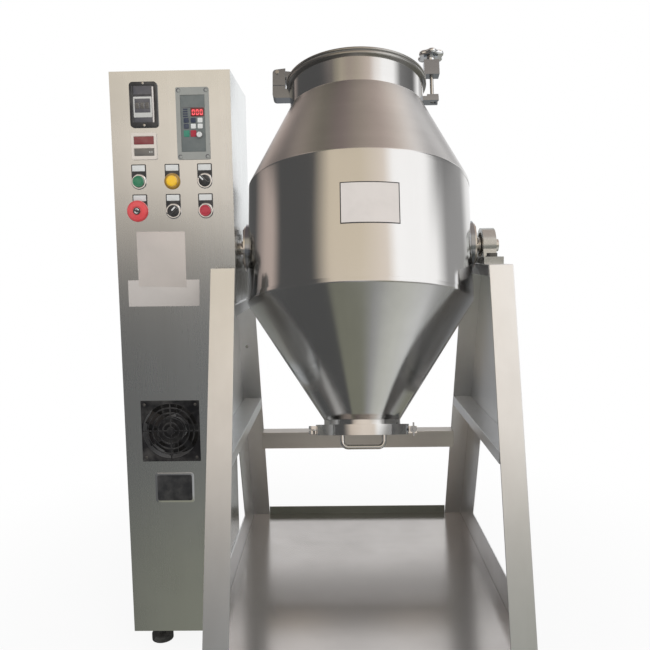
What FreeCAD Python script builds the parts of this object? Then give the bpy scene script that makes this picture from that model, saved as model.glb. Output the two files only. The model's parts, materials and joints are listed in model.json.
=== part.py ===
# Double cone mixer: a polished twin-cone vessel on trunnions between two leaning
# side frames, turned by a worm gearbox in the control cabinet on the left.
# Every piece is drawn about the trunnion centre, X along the trunnions, Y away
# from the operator, Z up, and its Placement lifts it onto the floor. Millimetres.
import FreeCAD, Part
import Sketcher
import math
import os

os.makedirs("parts", exist_ok=True)
doc = FreeCAD.newDocument("double_cone_mixer")
sheet = doc.addObject("Spreadsheet::Sheet", "Sizes")

# Driving sizes
SIZES = [
    ("axis_height", 810.0), ("vessel_tilt", 14.6),
    ("vessel_wall", 3.0), ("belly_radius", 225.0), ("belly_half", 119.0), ("skirt", 8.0),
    ("mouth_radius", 140.0), ("feed_rise", 172.0), ("neck_rise", 51.0),
    ("flange_lip", 7.0), ("flange_thick", 6.0), ("gasket_thick", 2.0),
    ("lid_rim_thick", 6.0), ("lid_rise", 16.0), ("lid_wall", 2.0),
    ("spout_radius", 74.5), ("spout_fall", 230.0), ("spout_neck", 13.0),
    ("ferrule_lip", 9.5), ("ferrule_thick", 5.0), ("cap_thick", 6.0),
    ("ring_depth", 18.0), ("ring_lip", 7.0), ("ring_bite", 4.0),
    ("ring_ear_reach", 15.0), ("ring_ear_thick", 8.0), ("ring_knuckle", 6.0), ("ring_pin", 2.5),
    ("wing_stem", 3.0), ("wing_stem_length", 38.0), ("wing_boss", 6.5), ("wing_span", 26.0),
    ("grip_width", 88.0), ("grip_drop", 30.0), ("grip_wire", 4.5),
    ("shaft_radius", 12.5), ("hub_radius", 46.0), ("hub_thick", 4.0), ("hub_gap", 2.5),
    ("hub_bolt_circle", 34.0), ("hub_bolt_radius", 4.0), ("hub_bolt_head", 3.5),
    ("bearing_inset", 23.0), ("left_bearing_inset", 27.0), ("bearing_height", 36.5),
    ("bearing_foot", 140.0), ("bearing_foot_width", 38.0), ("bearing_foot_thick", 14.0),
    ("bearing_dome", 35.0), ("bearing_dome_width", 26.0), ("bearing_bolt_span", 105.0),
    ("bearing_bolt", 6.0), ("bearing_hole", 26.0), ("outer_ring_inner", 22.0),
    ("inner_ring_outer", 17.5), ("inner_ring_width", 34.0), ("ball_radius", 3.9),
    ("ball_count", 9.0), ("shaft_overhang", 6.0),
    ("frame_gap", 11.0), ("frame_width", 45.0), ("frame_sheet", 2.5),
    ("frame_top_half", 132.0), ("front_slope", 0.30), ("rear_slope", 0.366),
    ("foot_height", 40.0), ("top_lip", 22.0), ("left_seat_level", 105.0),
    ("shelf_height", 446.0), ("shelf_lip", 22.0), ("window_strip", 140.0),
    ("window_top", 40.0), ("window_foot", 60.0), ("tray_height", 100.0), ("tray_depth", 58.0),
    ("tray_upstand", 20.0), ("bar_height", 360.0), ("bar_size", 40.0), ("bar_wall", 2.0),
    ("foot_radius", 22.0), ("foot_pad", 12.0), ("foot_stud", 6.0), ("foot_inset", 45.0),
    ("cabinet_overlap", 4.0), ("cabinet_width", 227.0), ("cabinet_front", 95.0),
    ("cabinet_rear", 126.0), ("cabinet_top", 332.0), ("cabinet_sheet", 2.0),
    ("louvre_width", 90.0), ("louvre_slot", 4.0), ("louvre_pitch", 14.0), ("louvre_count", 8.0),
    ("gland_radius", 15.0), ("gland_bore", 6.5), ("gland_stem", 9.9),
    ("gearbox_gap", 37.0), ("gearbox_width", 92.0), ("gearbox_reach", 54.0),
    ("worm_offset", 50.0), ("worm_side", 26.0), ("motor_radius", 60.0), ("motor_length", 210.0),
    ("cowl_length", 46.0), ("arm_width", 38.0), ("arm_height", 60.0),
    ("panel_hole", 11.2), ("column_one_inset", 49.0), ("column_two_inset", 112.4),
    ("column_three_inset", 174.0), ("row_one_drop", 203.3), ("row_two_drop", 259.2),
    ("collar_radius", 14.6), ("collar_proud", 4.0),
    ("button_radius", 10.6), ("button_proud", 7.0), ("mushroom_radius", 20.0),
    ("mushroom_thick", 12.0), ("mushroom_proud", 26.0), ("stem_depth", 16.0),
    ("knob_disc", 6.0), ("knob_grip", 9.0), ("knob_bar", 7.0), ("knob_bar_length", 20.0),
    ("contact_side", 30.0), ("contact_deep", 42.0), ("barrel_deep", 18.0),
    ("legend_width", 28.0), ("legend_height", 14.0), ("legend_rise", 19.0), ("legend_thick", 2.0),
    ("timer_inset", 39.0), ("timer_drop", 21.0), ("timer_width", 52.0), ("timer_height", 83.0),
    ("timer_proud", 9.0), ("timer_deep", 70.0), ("timer_rim", 6.0), ("timer_recess", 5.0),
    ("meter_inset", 38.5), ("meter_drop", 113.0), ("meter_width", 48.0), ("meter_height", 50.0),
    ("meter_proud", 7.0), ("meter_deep", 60.0), ("meter_recess", 2.5),
    ("inverter_inset", 125.0), ("inverter_drop", 32.0), ("inverter_width", 61.5),
    ("inverter_height", 132.0), ("inverter_proud", 6.0), ("inverter_deep", 90.0),
    ("speed_knob_radius", 5.5), ("speed_knob_proud", 10.0),
    ("fan_inset", 90.3), ("fan_level", 354.3), ("fan_side", 120.0), ("fan_deep", 38.0),
    ("fan_bore", 56.0), ("fan_hub", 27.0), ("fan_blades", 7.0), ("fan_spoke", 8.0),
    ("guard_wire", 2.4), ("guard_pitch", 10.0), ("guard_span", 114.0),
    ("clamp_gap", 13.0), ("clamp_rise", 63.0), ("knob_radius", 28.5), ("knob_height", 20.0),
    ("knob_lobes", 6.0), ("rod_radius", 4.0), ("lug_fall", 31.0), ("lug_thick", 9.4),
    ("lug_width", 24.0), ("lug_ear", 5.0), ("block_width", 22.0), ("block_half", 16.0),
    ("block_foot", 22.0), ("block_lift", 14.0), ("hinge_fall", 20.0), ("hinge_clear", 2.0),
    ("hinge_gap", 19.0), ("hinge_rise", 37.0), ("hinge_pin_radius", 4.0), ("hinge_width", 26.0),
    ("hinge_arm_width", 14.0), ("hinge_seam", 1.4),
    ("slack", 0.3), ("running", 0.05),
]
NUMBERS = dict(SIZES)
for row, (alias, amount) in enumerate(SIZES, start=1):
    sheet.set(f"A{row}", str(amount))
    sheet.setAlias(f"A{row}", alias)
doc.recompute()


class Dim:
    """A size: its number now, and the same size as an expression on the sheet."""

    def __init__(self, number, text=None):
        self.number = float(number)
        self.text = text

    def mix(self, other, sign, number):
        other = other if isinstance(other, Dim) else Dim(other)
        if self.text is None and other.text is None:
            return Dim(number)
        left = self.text or repr(self.number)
        right = other.text or repr(other.number)
        return Dim(number, f"({left} {sign} {right})")

    def __add__(self, other):
        return self.mix(other, "+", self.number + float(other))

    def __sub__(self, other):
        return self.mix(other, "-", self.number - float(other))

    def __mul__(self, other):
        return self.mix(other, "*", self.number * float(other))

    def __truediv__(self, other):
        return self.mix(other, "/", self.number / float(other))

    def __radd__(self, other):
        return Dim(other) + self

    def __rsub__(self, other):
        return Dim(other) - self

    def __rmul__(self, other):
        return Dim(other) * self

    def __neg__(self):
        return Dim(0.0) - self

    def __float__(self):
        return self.number


class Sizes:
    """Each driving size by its name, as a Dim."""

    def __getattr__(self, name):
        return Dim(NUMBERS[name], f"Sizes.{name}")


s = Sizes()
ZERO = Dim(0.0)
# Levels and reaches that follow from the driving sizes
s.mouth_level = s.belly_half + s.feed_rise
s.flange_level = s.mouth_level + s.neck_rise
s.flange_radius = s.mouth_radius + s.flange_lip
s.spout_level = s.belly_half + s.spout_fall
s.ferrule_level = s.spout_level + s.spout_neck
s.ferrule_radius = s.spout_radius + s.ferrule_lip
s.ring_outer = s.ferrule_radius + s.ring_lip
s.frame_inner = s.belly_radius + s.frame_gap
s.frame_outer = s.frame_inner + s.frame_width
s.bearing_x = s.frame_inner + s.bearing_inset
s.left_bearing_x = s.frame_inner + s.left_bearing_inset
s.frame_foot_level = s.axis_height - s.foot_height
s.shelf_level = s.axis_height - s.shelf_height
s.tray_level = s.axis_height - s.tray_height
s.bar_level = s.axis_height - s.bar_height
s.cabinet_right = s.frame_inner + s.cabinet_overlap
s.cabinet_left = s.cabinet_right + s.cabinet_width
s.column_one = s.cabinet_left - s.column_one_inset
s.column_two = s.cabinet_left - s.column_two_inset
s.column_three = s.cabinet_left - s.column_three_inset
s.row_one = s.cabinet_top - s.row_one_drop
s.row_two = s.cabinet_top - s.row_two_drop
s.fan_x = s.cabinet_left - s.fan_inset
s.gearbox_start = s.left_bearing_x + s.gearbox_gap
s.knob_reach = s.flange_radius + s.clamp_gap
s.knob_level = s.flange_level + s.clamp_rise
s.lug_level = s.flange_level - s.lug_fall
s.hinge_reach = s.flange_radius + s.hinge_gap
s.hinge_level = s.flange_level + s.hinge_rise
# The floor lies axis_height below the trunnions, and the whole part is centred on it
toe = s.frame_foot_level - s.bearing_height
front_toe = s.frame_top_half + s.front_slope * toe
rear_toe = s.frame_top_half + s.rear_slope * toe
shaft_end = s.bearing_x + s.inner_ring_width / 2 + s.shaft_overhang
SHIFT = ((s.cabinet_left - shaft_end) / 2, (front_toe - rear_toe) / 2, s.axis_height)
NODES = []
ROLES = {"XY": "XY_Plane", "XZ": "XZ_Plane", "YZ": "YZ_Plane"}


def bind(thing, name, amount):
    """Ties one property to a size."""
    if isinstance(amount, Dim) and amount.text:
        thing.setExpression(name, amount.text)
    elif "." not in name:
        setattr(thing, name, float(amount))


def place(node, label, on_vessel=False):
    """Names a finished piece and lifts it from the trunnion centre to the floor frame."""
    if node.TypeId in ("Part::Cylinder", "Part::Box"):
        node = group(node)
    node.Label = label
    angle = -NUMBERS["vessel_tilt"] if on_vessel else 0.0
    turn = FreeCAD.Rotation(FreeCAD.Vector(1, 0, 0), angle)
    node.Placement = FreeCAD.Placement(FreeCAD.Vector(*[float(v) for v in SHIFT]), turn)
    for letter, amount in zip("xyz", SHIFT):
        node.setExpression(f"Placement.Base.{letter}", amount.text)
    if on_vessel:
        node.setExpression("Placement.Rotation.Angle", "-Sizes.vessel_tilt")
    NODES.append(node)
    return node


def move(thing, x=0.0, y=0.0, z=0.0, turn=None):
    """Places a primitive inside its own piece."""
    spot = FreeCAD.Vector(float(x), float(y), float(z))
    thing.Placement = FreeCAD.Placement(spot, turn or FreeCAD.Rotation())
    for letter, amount in (("x", x), ("y", y), ("z", z)):
        if isinstance(amount, Dim) and amount.text:
            thing.setExpression(f"Placement.Base.{letter}", amount.text)
    return thing


TURNS = {
    "z": FreeCAD.Rotation(),
    "x": FreeCAD.Rotation(FreeCAD.Vector(0, 1, 0), 90),
    "y": FreeCAD.Rotation(FreeCAD.Vector(1, 0, 0), -90),
}


def rod(radius, length, x=0.0, y=0.0, z=0.0, along="z"):
    thing = doc.addObject("Part::Cylinder", "rod")
    bind(thing, "Radius", radius)
    bind(thing, "Height", length)
    return move(thing, x, y, z, TURNS[along])


def block(sx, sy, sz, x, y, z):
    """A box from its low corner."""
    thing = doc.addObject("Part::Box", "block")
    bind(thing, "Length", sx)
    bind(thing, "Width", sy)
    bind(thing, "Height", sz)
    return move(thing, x, y, z)


def tube(outer, inner, length, x=0.0, y=0.0, z=0.0, along="z"):
    return cut(rod(outer, length, x, y, z, along), rod(inner, length, x, y, z, along))


def fuse(*shapes):
    thing = doc.addObject("Part::MultiFuse", "fuse")
    thing.Shapes = list(shapes)
    return thing


def cut(base, *tools):
    thing = doc.addObject("Part::Cut", "cut")
    thing.Base = base
    thing.Tool = tools[0] if len(tools) == 1 else fuse(*tools)
    return thing


def group(*shapes):
    thing = doc.addObject("Part::Compound", "group")
    thing.Links = list(shapes)
    return thing


def plane_of(body, name):
    return [f for f in body.Origin.OriginFeatures if f.Role == ROLES[name]][0]


def tie_point(sketch, edge, end, u, v):
    """Holds one end of a line at the sizes u and v from the sketch's origin."""
    for kind, amount, axis in (("DistanceX", u, -2), ("DistanceY", v, -1)):
        if abs(float(amount)) < 1e-9:
            sketch.addConstraint(Sketcher.Constraint("PointOnObject", edge, end, axis))
            continue
        number = float(amount)
        index = sketch.addConstraint(Sketcher.Constraint(kind, -1, 1, edge, end, number))
        if isinstance(amount, Dim) and amount.text:
            sketch.setExpression(f"Constraints[{index}]", amount.text)


def add_loop(sketch, loop):
    """Draws one closed outline, or a circle given as (u, v, radius)."""
    if isinstance(loop, tuple):
        u, v, radius = loop
        centre = FreeCAD.Vector(float(u), float(v), 0)
        ring = Part.Circle(centre, FreeCAD.Vector(0, 0, 1), float(radius))
        edge = sketch.addGeometry(ring, False)
        tie_point(sketch, edge, 3, u, v)
        index = sketch.addConstraint(Sketcher.Constraint("Radius", edge, float(radius)))
        if isinstance(radius, Dim) and radius.text:
            sketch.setExpression(f"Constraints[{index}]", radius.text)
        return
    corners = [FreeCAD.Vector(float(u), float(v), 0) for u, v in loop]
    edges = []
    for here, there in zip(corners, corners[1:] + corners[:1]):
        edges.append(sketch.addGeometry(Part.LineSegment(here, there), False))
    for edge, after in zip(edges, edges[1:] + edges[:1]):
        sketch.addConstraint(Sketcher.Constraint("Coincident", edge, 2, after, 1))
    for edge, (u, v) in zip(edges, loop):
        tie_point(sketch, edge, 1, u, v)


def draw(body, plane, loops, start=0.0):
    """A sketch on one of the body's own origin planes, raised to start along its normal."""
    sketch = body.newObject("Sketcher::SketchObject", "sketch")
    sketch.AttachmentSupport = [(plane_of(body, plane), "")]
    sketch.MapMode = "FlatFace"
    lift = FreeCAD.Vector(0, 0, float(start))
    sketch.AttachmentOffset = FreeCAD.Placement(lift, FreeCAD.Rotation())
    if isinstance(start, Dim) and start.text:
        sketch.setExpression("AttachmentOffset.Base.z", start.text)
    for loop in loops:
        add_loop(sketch, loop)
    return sketch


def new_body():
    return doc.addObject("PartDesign::Body", "body")


def slab(body, plane, low, thick, *loops, remove=False):
    """Pads, or cuts, outlines from low to low + thick along the plane's own world axis."""
    start = -(low + thick) if plane == "XZ" else low
    sketch = draw(body, plane, loops, start)
    kind = "PartDesign::Pocket" if remove else "PartDesign::Pad"
    feature = body.newObject(kind, "slab")
    feature.Profile = sketch
    bind(feature, "Length", thick)
    feature.Reversed = remove
    return feature


def spin(body, loops, axis="V_Axis", remove=False):
    """Turns outlines on the XZ plane about Z, or about X for H_Axis."""
    sketch = draw(body, "XZ", loops)
    kind = "PartDesign::Groove" if remove else "PartDesign::Revolution"
    feature = body.newObject(kind, "spin")
    feature.Profile = sketch
    feature.ReferenceAxis = (sketch, [axis])
    feature.Angle = 360
    return feature


def repeat(body, feature, count, axis="Z_Axis"):
    """Copies a feature evenly around one of the body's axes."""
    doc.recompute()
    pattern = body.newObject("PartDesign::PolarPattern", "repeat")
    pattern.Originals = [feature]
    line = [f for f in body.Origin.OriginFeatures if f.Role == axis][0]
    pattern.Axis = (line, [""])
    pattern.Angle = 360
    bind(pattern, "Occurrences", count)
    body.Tip = pattern
    return pattern


def soften(body, feature, radius, wanted):
    """Rounds the edges that wanted accepts."""
    doc.recompute()
    names = [f"Edge{i}" for i, e in enumerate(feature.Shape.Edges, 1) if wanted(e)]
    blend = body.newObject("PartDesign::Fillet", "soften")
    blend.Base = (feature, names)
    bind(blend, "Radius", radius)
    body.Tip = blend
    return blend


def lying(edge):
    """True for a straight edge along Y."""
    ends = [v.Point for v in edge.Vertexes]
    return len(ends) == 2 and (ends[0] - ends[1]).cross(FreeCAD.Vector(0, 1, 0)).Length < 1e-6


# Side frames: folded channels that lean inward to the trunnion seats
def front_at(level):
    return -(s.frame_top_half + s.front_slope * (level - s.bearing_height))


def rear_at(level):
    return s.frame_top_half + s.rear_slope * (level - s.bearing_height)


def frame_outline(top, foot, inset_front, inset_rear):
    """The leaning outline between two levels below the trunnion, drawn in by the insets."""
    return [
        (front_at(foot) + inset_front, -foot), (rear_at(foot) - inset_rear, -foot),
        (rear_at(top) - inset_rear, -top), (front_at(top) + inset_front, -top),
    ]


def side_frame(label, side):
    body = new_body()
    top = s.bearing_height
    depth = s.frame_outer - s.frame_inner
    low = s.frame_inner if side > 0 else -s.frame_outer
    slab(body, "YZ", low, depth, frame_outline(top, s.frame_foot_level, ZERO, ZERO))
    inset = s.frame_sheet * 1.06
    hollow = frame_outline(top, s.frame_foot_level - s.frame_sheet, inset, inset)
    hollow[2:] = [(rear_at(top - 1) - inset, 1 - top), (front_at(top - 1) + inset, 1 - top)]
    inner = s.frame_inner if side > 0 else s.frame_sheet - s.frame_outer
    slab(body, "YZ", inner, depth - s.frame_sheet, hollow, remove=True)
    strip = s.window_strip
    window = frame_outline(s.shelf_level + s.window_top, s.tray_level - s.window_foot, strip, strip)
    web = s.frame_outer - s.frame_sheet if side > 0 else -s.frame_outer
    slab(body, "YZ", web, s.frame_sheet, window, remove=True)
    if side < 0:
        seat = [
            (-s.cabinet_front - 2, -s.left_seat_level), (s.cabinet_rear + 3.5, -s.left_seat_level),
            (s.cabinet_rear + 3.5, 5 - top), (-s.cabinet_front - 2, 5 - top),
        ]
        slab(body, "YZ", web, s.frame_sheet, seat, remove=True)
    place(body, label)


def channel_plate(side, level, lip):
    """A plate inside a side frame with its inner edge folded down."""
    body = new_body()
    gap = s.frame_sheet * 1.06 + s.slack
    near = front_at(level) + gap
    far = rear_at(level) - gap
    inner = s.frame_inner
    outer = s.frame_outer - s.frame_sheet - s.slack
    low = inner if side > 0 else -outer
    thick = s.frame_sheet * 2 if lip is s.top_lip else s.frame_sheet
    plate = [(low, near), (low + outer - inner, near), (low + outer - inner, far), (low, far)]
    slab(body, "XY", -level - thick, thick, plate)
    edge = inner if side > 0 else -inner - s.frame_sheet
    fold = [(edge, near), (edge + s.frame_sheet, near), (edge + s.frame_sheet, far), (edge, far)]
    slab(body, "XY", -level - lip, lip - thick, fold)
    return body


side_frame("right_side_frame", 1)
side_frame("left_side_frame", -1)
seats = [channel_plate(1, s.bearing_height, s.top_lip), channel_plate(-1, s.left_seat_level, s.top_lip)]
place(group(*seats), "top_plates")
shelves = [channel_plate(side, s.shelf_level, s.shelf_lip) for side in (1, -1)]
place(group(*shelves), "frame_shelves")

# Rear crossbar: square tube between the two rear flanges
bar_half = s.frame_inner - s.slack
bar_rear = rear_at(s.bar_level) - s.frame_sheet
bar = cut(
    block(bar_half * 2, s.bar_size, s.bar_size, -bar_half, bar_rear - s.bar_size,
          -s.bar_level - s.bar_size),
    block(bar_half * 2, s.bar_size - s.bar_wall * 2, s.bar_size - s.bar_wall * 2, -bar_half,
          bar_rear - s.bar_size + s.bar_wall, s.bar_wall - s.bar_level - s.bar_size),
)
place(bar, "rear_crossbar")

# Base tray: inverted pan with folded edges, notched round the frame flanges
body = new_body()
wing = s.frame_outer - s.frame_sheet - s.slack
step = s.frame_inner - s.slack
near = front_at(s.tray_level)
far = rear_at(s.tray_level)
tuck = s.frame_sheet + s.slack * 2
pan = [
    (-step, near), (step, near), (step, near + tuck), (wing, near + tuck),
    (wing, far - tuck), (step, far - tuck), (step, far), (-step, far),
    (-step, far - tuck), (-wing, far - tuck), (-wing, near + tuck), (-step, near + tuck),
]
slab(body, "XY", -s.tray_level - s.frame_sheet, s.frame_sheet, pan)
fold_top = -s.tray_level - s.tray_depth
for edge in (near, far - s.frame_sheet):
    apron = [(-step, edge), (step, edge), (step, edge + s.frame_sheet), (-step, edge + s.frame_sheet)]
    slab(body, "XY", fold_top, s.tray_depth - s.frame_sheet, apron)
back = [(-step, far - s.frame_sheet), (step, far - s.frame_sheet), (step, far), (-step, far)]
slab(body, "XY", -s.tray_level, s.tray_upstand, back)
place(body, "base_tray")

# Levelling feet: stud and pad under each frame and under the cabinet's outer edge
foot_drop = s.axis_height - s.frame_foot_level
frame_x = (s.frame_inner + s.frame_outer) / 2
front_foot = front_at(s.frame_foot_level) + s.foot_inset
rear_foot = rear_at(s.frame_foot_level) - s.foot_inset
outer_foot = s.cabinet_left - s.foot_inset
FEET = [(side * frame_x, y) for side in (1, -1) for y in (front_foot, rear_foot)]
FEET += [(-outer_foot, s.foot_inset - s.cabinet_front), (-outer_foot, s.cabinet_rear - s.foot_inset)]
feet = []
for x, y in FEET:
    pad = rod(s.foot_radius, s.foot_pad, x, y, -s.axis_height)
    stud = rod(s.foot_stud, foot_drop - s.foot_pad, x, y, s.foot_pad - s.axis_height)
    feet.append(fuse(pad, stud))
place(group(*feet), "levelling_feet")


# Trunnion bearings: pillow block, rings and balls on each side
def bearing(side):
    centre = s.bearing_x if side > 0 else -s.left_bearing_x
    body = new_body()
    half = s.bearing_foot_width / 2
    reach = s.bearing_foot / 2
    foot = [(-reach, -s.bearing_height), (reach, -s.bearing_height),
            (reach, s.bearing_foot_thick - s.bearing_height),
            (-reach, s.bearing_foot_thick - s.bearing_height)]
    slab(body, "YZ", centre - half, s.bearing_foot_width, foot)
    dome_low = centre - s.bearing_dome_width / 2
    slab(body, "YZ", dome_low, s.bearing_dome_width, (ZERO, ZERO, s.bearing_dome))
    shoulder = [(-s.bearing_dome - 5, s.bearing_foot_thick - s.bearing_height - 4),
                (s.bearing_dome + 5, s.bearing_foot_thick - s.bearing_height - 4),
                (s.bearing_dome * 0.94, -s.bearing_dome * 0.2),
                (-s.bearing_dome * 0.94, -s.bearing_dome * 0.2)]
    slab(body, "YZ", dome_low, s.bearing_dome_width, shoulder)
    slab(body, "YZ", centre - half, s.bearing_foot_width, (ZERO, ZERO, s.bearing_hole), remove=True)
    for way in (-1, 1):
        spot = (centre, s.bearing_bolt_span / 2 * way, s.bearing_bolt + 0.5)
        slab(body, "XY", -s.bearing_height, s.bearing_foot_thick, spot, remove=True)
    half_outer = s.bearing_dome_width / 2 - 4
    ring = tube(s.bearing_hole, s.outer_ring_inner, half_outer * 2, centre - half_outer, along="x")
    groove = doc.addObject("Part::Torus", "groove")
    pitch = (s.outer_ring_inner + s.inner_ring_outer) / 2
    bind(groove, "Radius1", pitch)
    bind(groove, "Radius2", s.ball_radius + s.running)
    move(groove, centre, turn=TURNS["x"])
    outer = cut(ring, groove)
    race = doc.addObject("Part::Torus", "groove")
    bind(race, "Radius1", pitch)
    bind(race, "Radius2", s.ball_radius + s.running)
    move(race, centre, turn=TURNS["x"])
    low = centre - s.inner_ring_width / 2
    inner = tube(s.inner_ring_outer, s.shaft_radius, s.inner_ring_width, low, along="x")
    balls = []
    for index in range(int(NUMBERS["ball_count"])):
        angle = 2 * math.pi * index / int(NUMBERS["ball_count"])
        ball = doc.addObject("Part::Sphere", "ball")
        bind(ball, "Radius", s.ball_radius)
        balls.append(move(ball, centre, pitch * math.cos(angle), pitch * math.sin(angle)))
    return body, outer, cut(inner, race), balls


pairs = list(zip(bearing(1), bearing(-1)))
place(group(*pairs[0]), "bearing_housings")
place(group(*pairs[1]), "bearing_outer_rings")
place(group(*pairs[2]), "bearing_inner_rings", True)
place(group(*pairs[3][0], *pairs[3][1]), "bearing_balls", True)

bolts = []
for side in (1, -1):
    for way in (1, -1):
        x = s.bearing_x if side > 0 else -s.left_bearing_x
        y = s.bearing_bolt_span / 2 * way
        seat = s.bearing_foot_thick - s.bearing_height
        head = doc.addObject("Part::Prism", "head")
        head.Polygon = 6
        bind(head, "Circumradius", s.bearing_bolt * 1.75)
        bind(head, "Height", s.bearing_bolt * 1.2)
        move(head, x, y, seat)
        bolts.append(fuse(head, rod(s.bearing_bolt, s.bearing_foot_thick, x, y, -s.bearing_height)))
place(group(*bolts), "bearing_bolts")

# Drive inside the cabinet: pedestal, gearbox, torque arm and hanging motor
ledge = s.left_seat_level - s.cabinet_sheet
pedestal_x = -s.left_bearing_x - s.bearing_foot_width / 2
pedestal_height = ledge - s.bearing_height
pedestal = cut(
    block(s.bearing_foot_width, s.bearing_foot, pedestal_height, pedestal_x, -s.bearing_foot / 2,
          -ledge),
    block(s.bearing_foot_width - 10, s.bearing_foot, pedestal_height - 12, pedestal_x + 5,
          -s.bearing_foot / 2, 6 - ledge),
)
place(pedestal, "left_bearing_pedestal")
gear_x = -s.gearbox_start - s.gearbox_width
body = new_body()
worm_end = s.worm_offset + s.worm_side
case = [(-s.gearbox_reach, -s.gearbox_reach), (worm_end, -s.gearbox_reach),
        (worm_end, s.gearbox_reach), (-s.gearbox_reach, s.gearbox_reach)]
shell = slab(body, "YZ", gear_x, s.gearbox_width, case)
soften(body, shell, 12.0, lambda e: abs(e.Length - NUMBERS["gearbox_width"]) < 0.01)
slab(body, "YZ", gear_x, s.gearbox_width, (ZERO, ZERO, s.shaft_radius + 6), remove=True)
doc.recompute()
for fin in range(4):
    spot = s.gearbox_width / 5 * (fin + 1) + gear_x - 3
    groove = [(spot, s.gearbox_reach - 5), (spot + 6, s.gearbox_reach - 5),
              (spot + 6, s.gearbox_reach + 1), (spot, s.gearbox_reach + 1)]
    slab(body, "XZ", -s.gearbox_reach, s.gearbox_reach * 2 + s.worm_offset, groove, remove=True)
place(body, "gearbox_housing")
sleeve = tube(s.shaft_radius + 6 - s.running, s.shaft_radius, s.gearbox_width + 6, gear_x - 3, along="x")
place(sleeve, "gearbox_output_sleeve", True)
arm_x = -s.gearbox_start
arm_span = s.gearbox_start + pedestal_x
place(block(arm_span, s.arm_width, s.arm_height, arm_x, -s.arm_width - 12, -ledge), "torque_arm")
motor_x = gear_x + s.gearbox_width / 2
body = new_body()
motor_low = -s.gearbox_reach - s.motor_length
slab(body, "XY", -s.gearbox_reach - 10, 10.0, (motor_x, s.worm_offset, s.motor_radius))
slab(body, "XY", motor_low, s.motor_length - 10, (motor_x, s.worm_offset, s.motor_radius - 8))
slab(body, "XY", motor_low, Dim(8.0), (motor_x, s.worm_offset, s.motor_radius))
fin = [(motor_x - 1.5, s.worm_offset), (motor_x + 1.5, s.worm_offset),
       (motor_x + 1.5, s.worm_offset + s.motor_radius), (motor_x - 1.5, s.worm_offset + s.motor_radius)]
for turn in range(2):
    wide = [(motor_x - s.motor_radius, s.worm_offset + 12 * turn - 8),
            (motor_x + s.motor_radius, s.worm_offset + 12 * turn - 8),
            (motor_x + s.motor_radius, s.worm_offset + 12 * turn - 4),
            (motor_x - s.motor_radius, s.worm_offset + 12 * turn - 4)]
    slab(body, "XY", motor_low + 20, s.motor_length - 40, wide)
slab(body, "XY", motor_low + 20, s.motor_length - 40, fin)
cowl_low = motor_low - s.cowl_length
cowl = cut(rod(s.motor_radius, s.cowl_length, motor_x, s.worm_offset, cowl_low),
           rod(s.motor_radius - 2, s.cowl_length - 2, motor_x, s.worm_offset, cowl_low + 2))
place(fuse(body, cowl), "drive_motor")

# Control cabinet: folded sheet, stepped to sit on the left frame's seat
left = -s.cabinet_left
right = -s.cabinet_right
low_right = -s.frame_outer - s.slack
cabinet_base = -s.frame_foot_level
seat = -s.left_seat_level
deep = s.cabinet_front + s.cabinet_rear


def cabinet_outline(gap):
    return [
        (left + gap, cabinet_base + gap), (low_right - gap, cabinet_base + gap),
        (low_right - gap, seat + gap), (right - gap, seat + gap),
        (right - gap, s.cabinet_top - gap), (left + gap, s.cabinet_top - gap),
    ]


DEVICES = [
    (-s.column_one, s.row_one), (-s.column_two, s.row_one), (-s.column_three, s.row_one),
    (-s.column_one, s.row_two), (-s.column_two, s.row_two), (-s.column_three, s.row_two),
]


def case_spot(inset, drop, wide, tall):
    """Low corner and size of a panel case, set from the cabinet's upper left corner."""
    return (inset - s.cabinet_left, s.cabinet_top - drop - tall, wide, tall)


TIMER = case_spot(s.timer_inset, s.timer_drop, s.timer_width, s.timer_height)
METER = case_spot(s.meter_inset, s.meter_drop, s.meter_width, s.meter_height)
INVERTER = case_spot(s.inverter_inset, s.inverter_drop, s.inverter_width, s.inverter_height)


def rectangle(x, z, wide, tall, inset=0.0):
    return [(x + inset, z + inset), (x + wide - inset, z + inset),
            (x + wide - inset, z + tall - inset), (x + inset, z + tall - inset)]



body = new_body()
slab(body, "XZ", -s.cabinet_front, deep, cabinet_outline(ZERO))
inside = s.cabinet_sheet - s.cabinet_front
slab(body, "XZ", inside, deep, cabinet_outline(s.cabinet_sheet), remove=True)
holes = [(x, z, s.panel_hole) for x, z in DEVICES]
holes.append((-s.fan_x, -s.fan_level, s.fan_bore))
holes += [rectangle(*spot, 3.0) for spot in (TIMER, METER, INVERTER)]
slab(body, "XZ", -s.cabinet_front, s.cabinet_sheet, *holes, remove=True)
doorway = (ZERO, ZERO, s.shaft_radius + 2)
slab(body, "YZ", right - s.cabinet_sheet, s.cabinet_sheet, doorway, remove=True)
gland_hole = (-s.fan_x, ZERO, s.gland_stem + s.slack)
slab(body, "XY", cabinet_base, s.cabinet_sheet, gland_hole, remove=True)
place(body, "cabinet_shell")
body = new_body()
cover_y = s.cabinet_rear - s.cabinet_sheet
slab(body, "XZ", cover_y, s.cabinet_sheet, cabinet_outline(s.cabinet_sheet + s.slack))
louvre_x = left + s.cabinet_width / 4
for level in range(int(NUMBERS["louvre_count"])):
    upper = s.cabinet_top / 1.66 - s.louvre_pitch * level
    lower = cabinet_base / 2.139 - s.louvre_pitch * level
    slot = rectangle(louvre_x, upper, s.louvre_width, s.louvre_slot)
    low_slot = rectangle(louvre_x - 10, lower, s.louvre_width, s.louvre_slot)
    slab(body, "XZ", cover_y, s.cabinet_sheet, slot, low_slot, remove=True)
place(body, "cabinet_back_cover")
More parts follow.
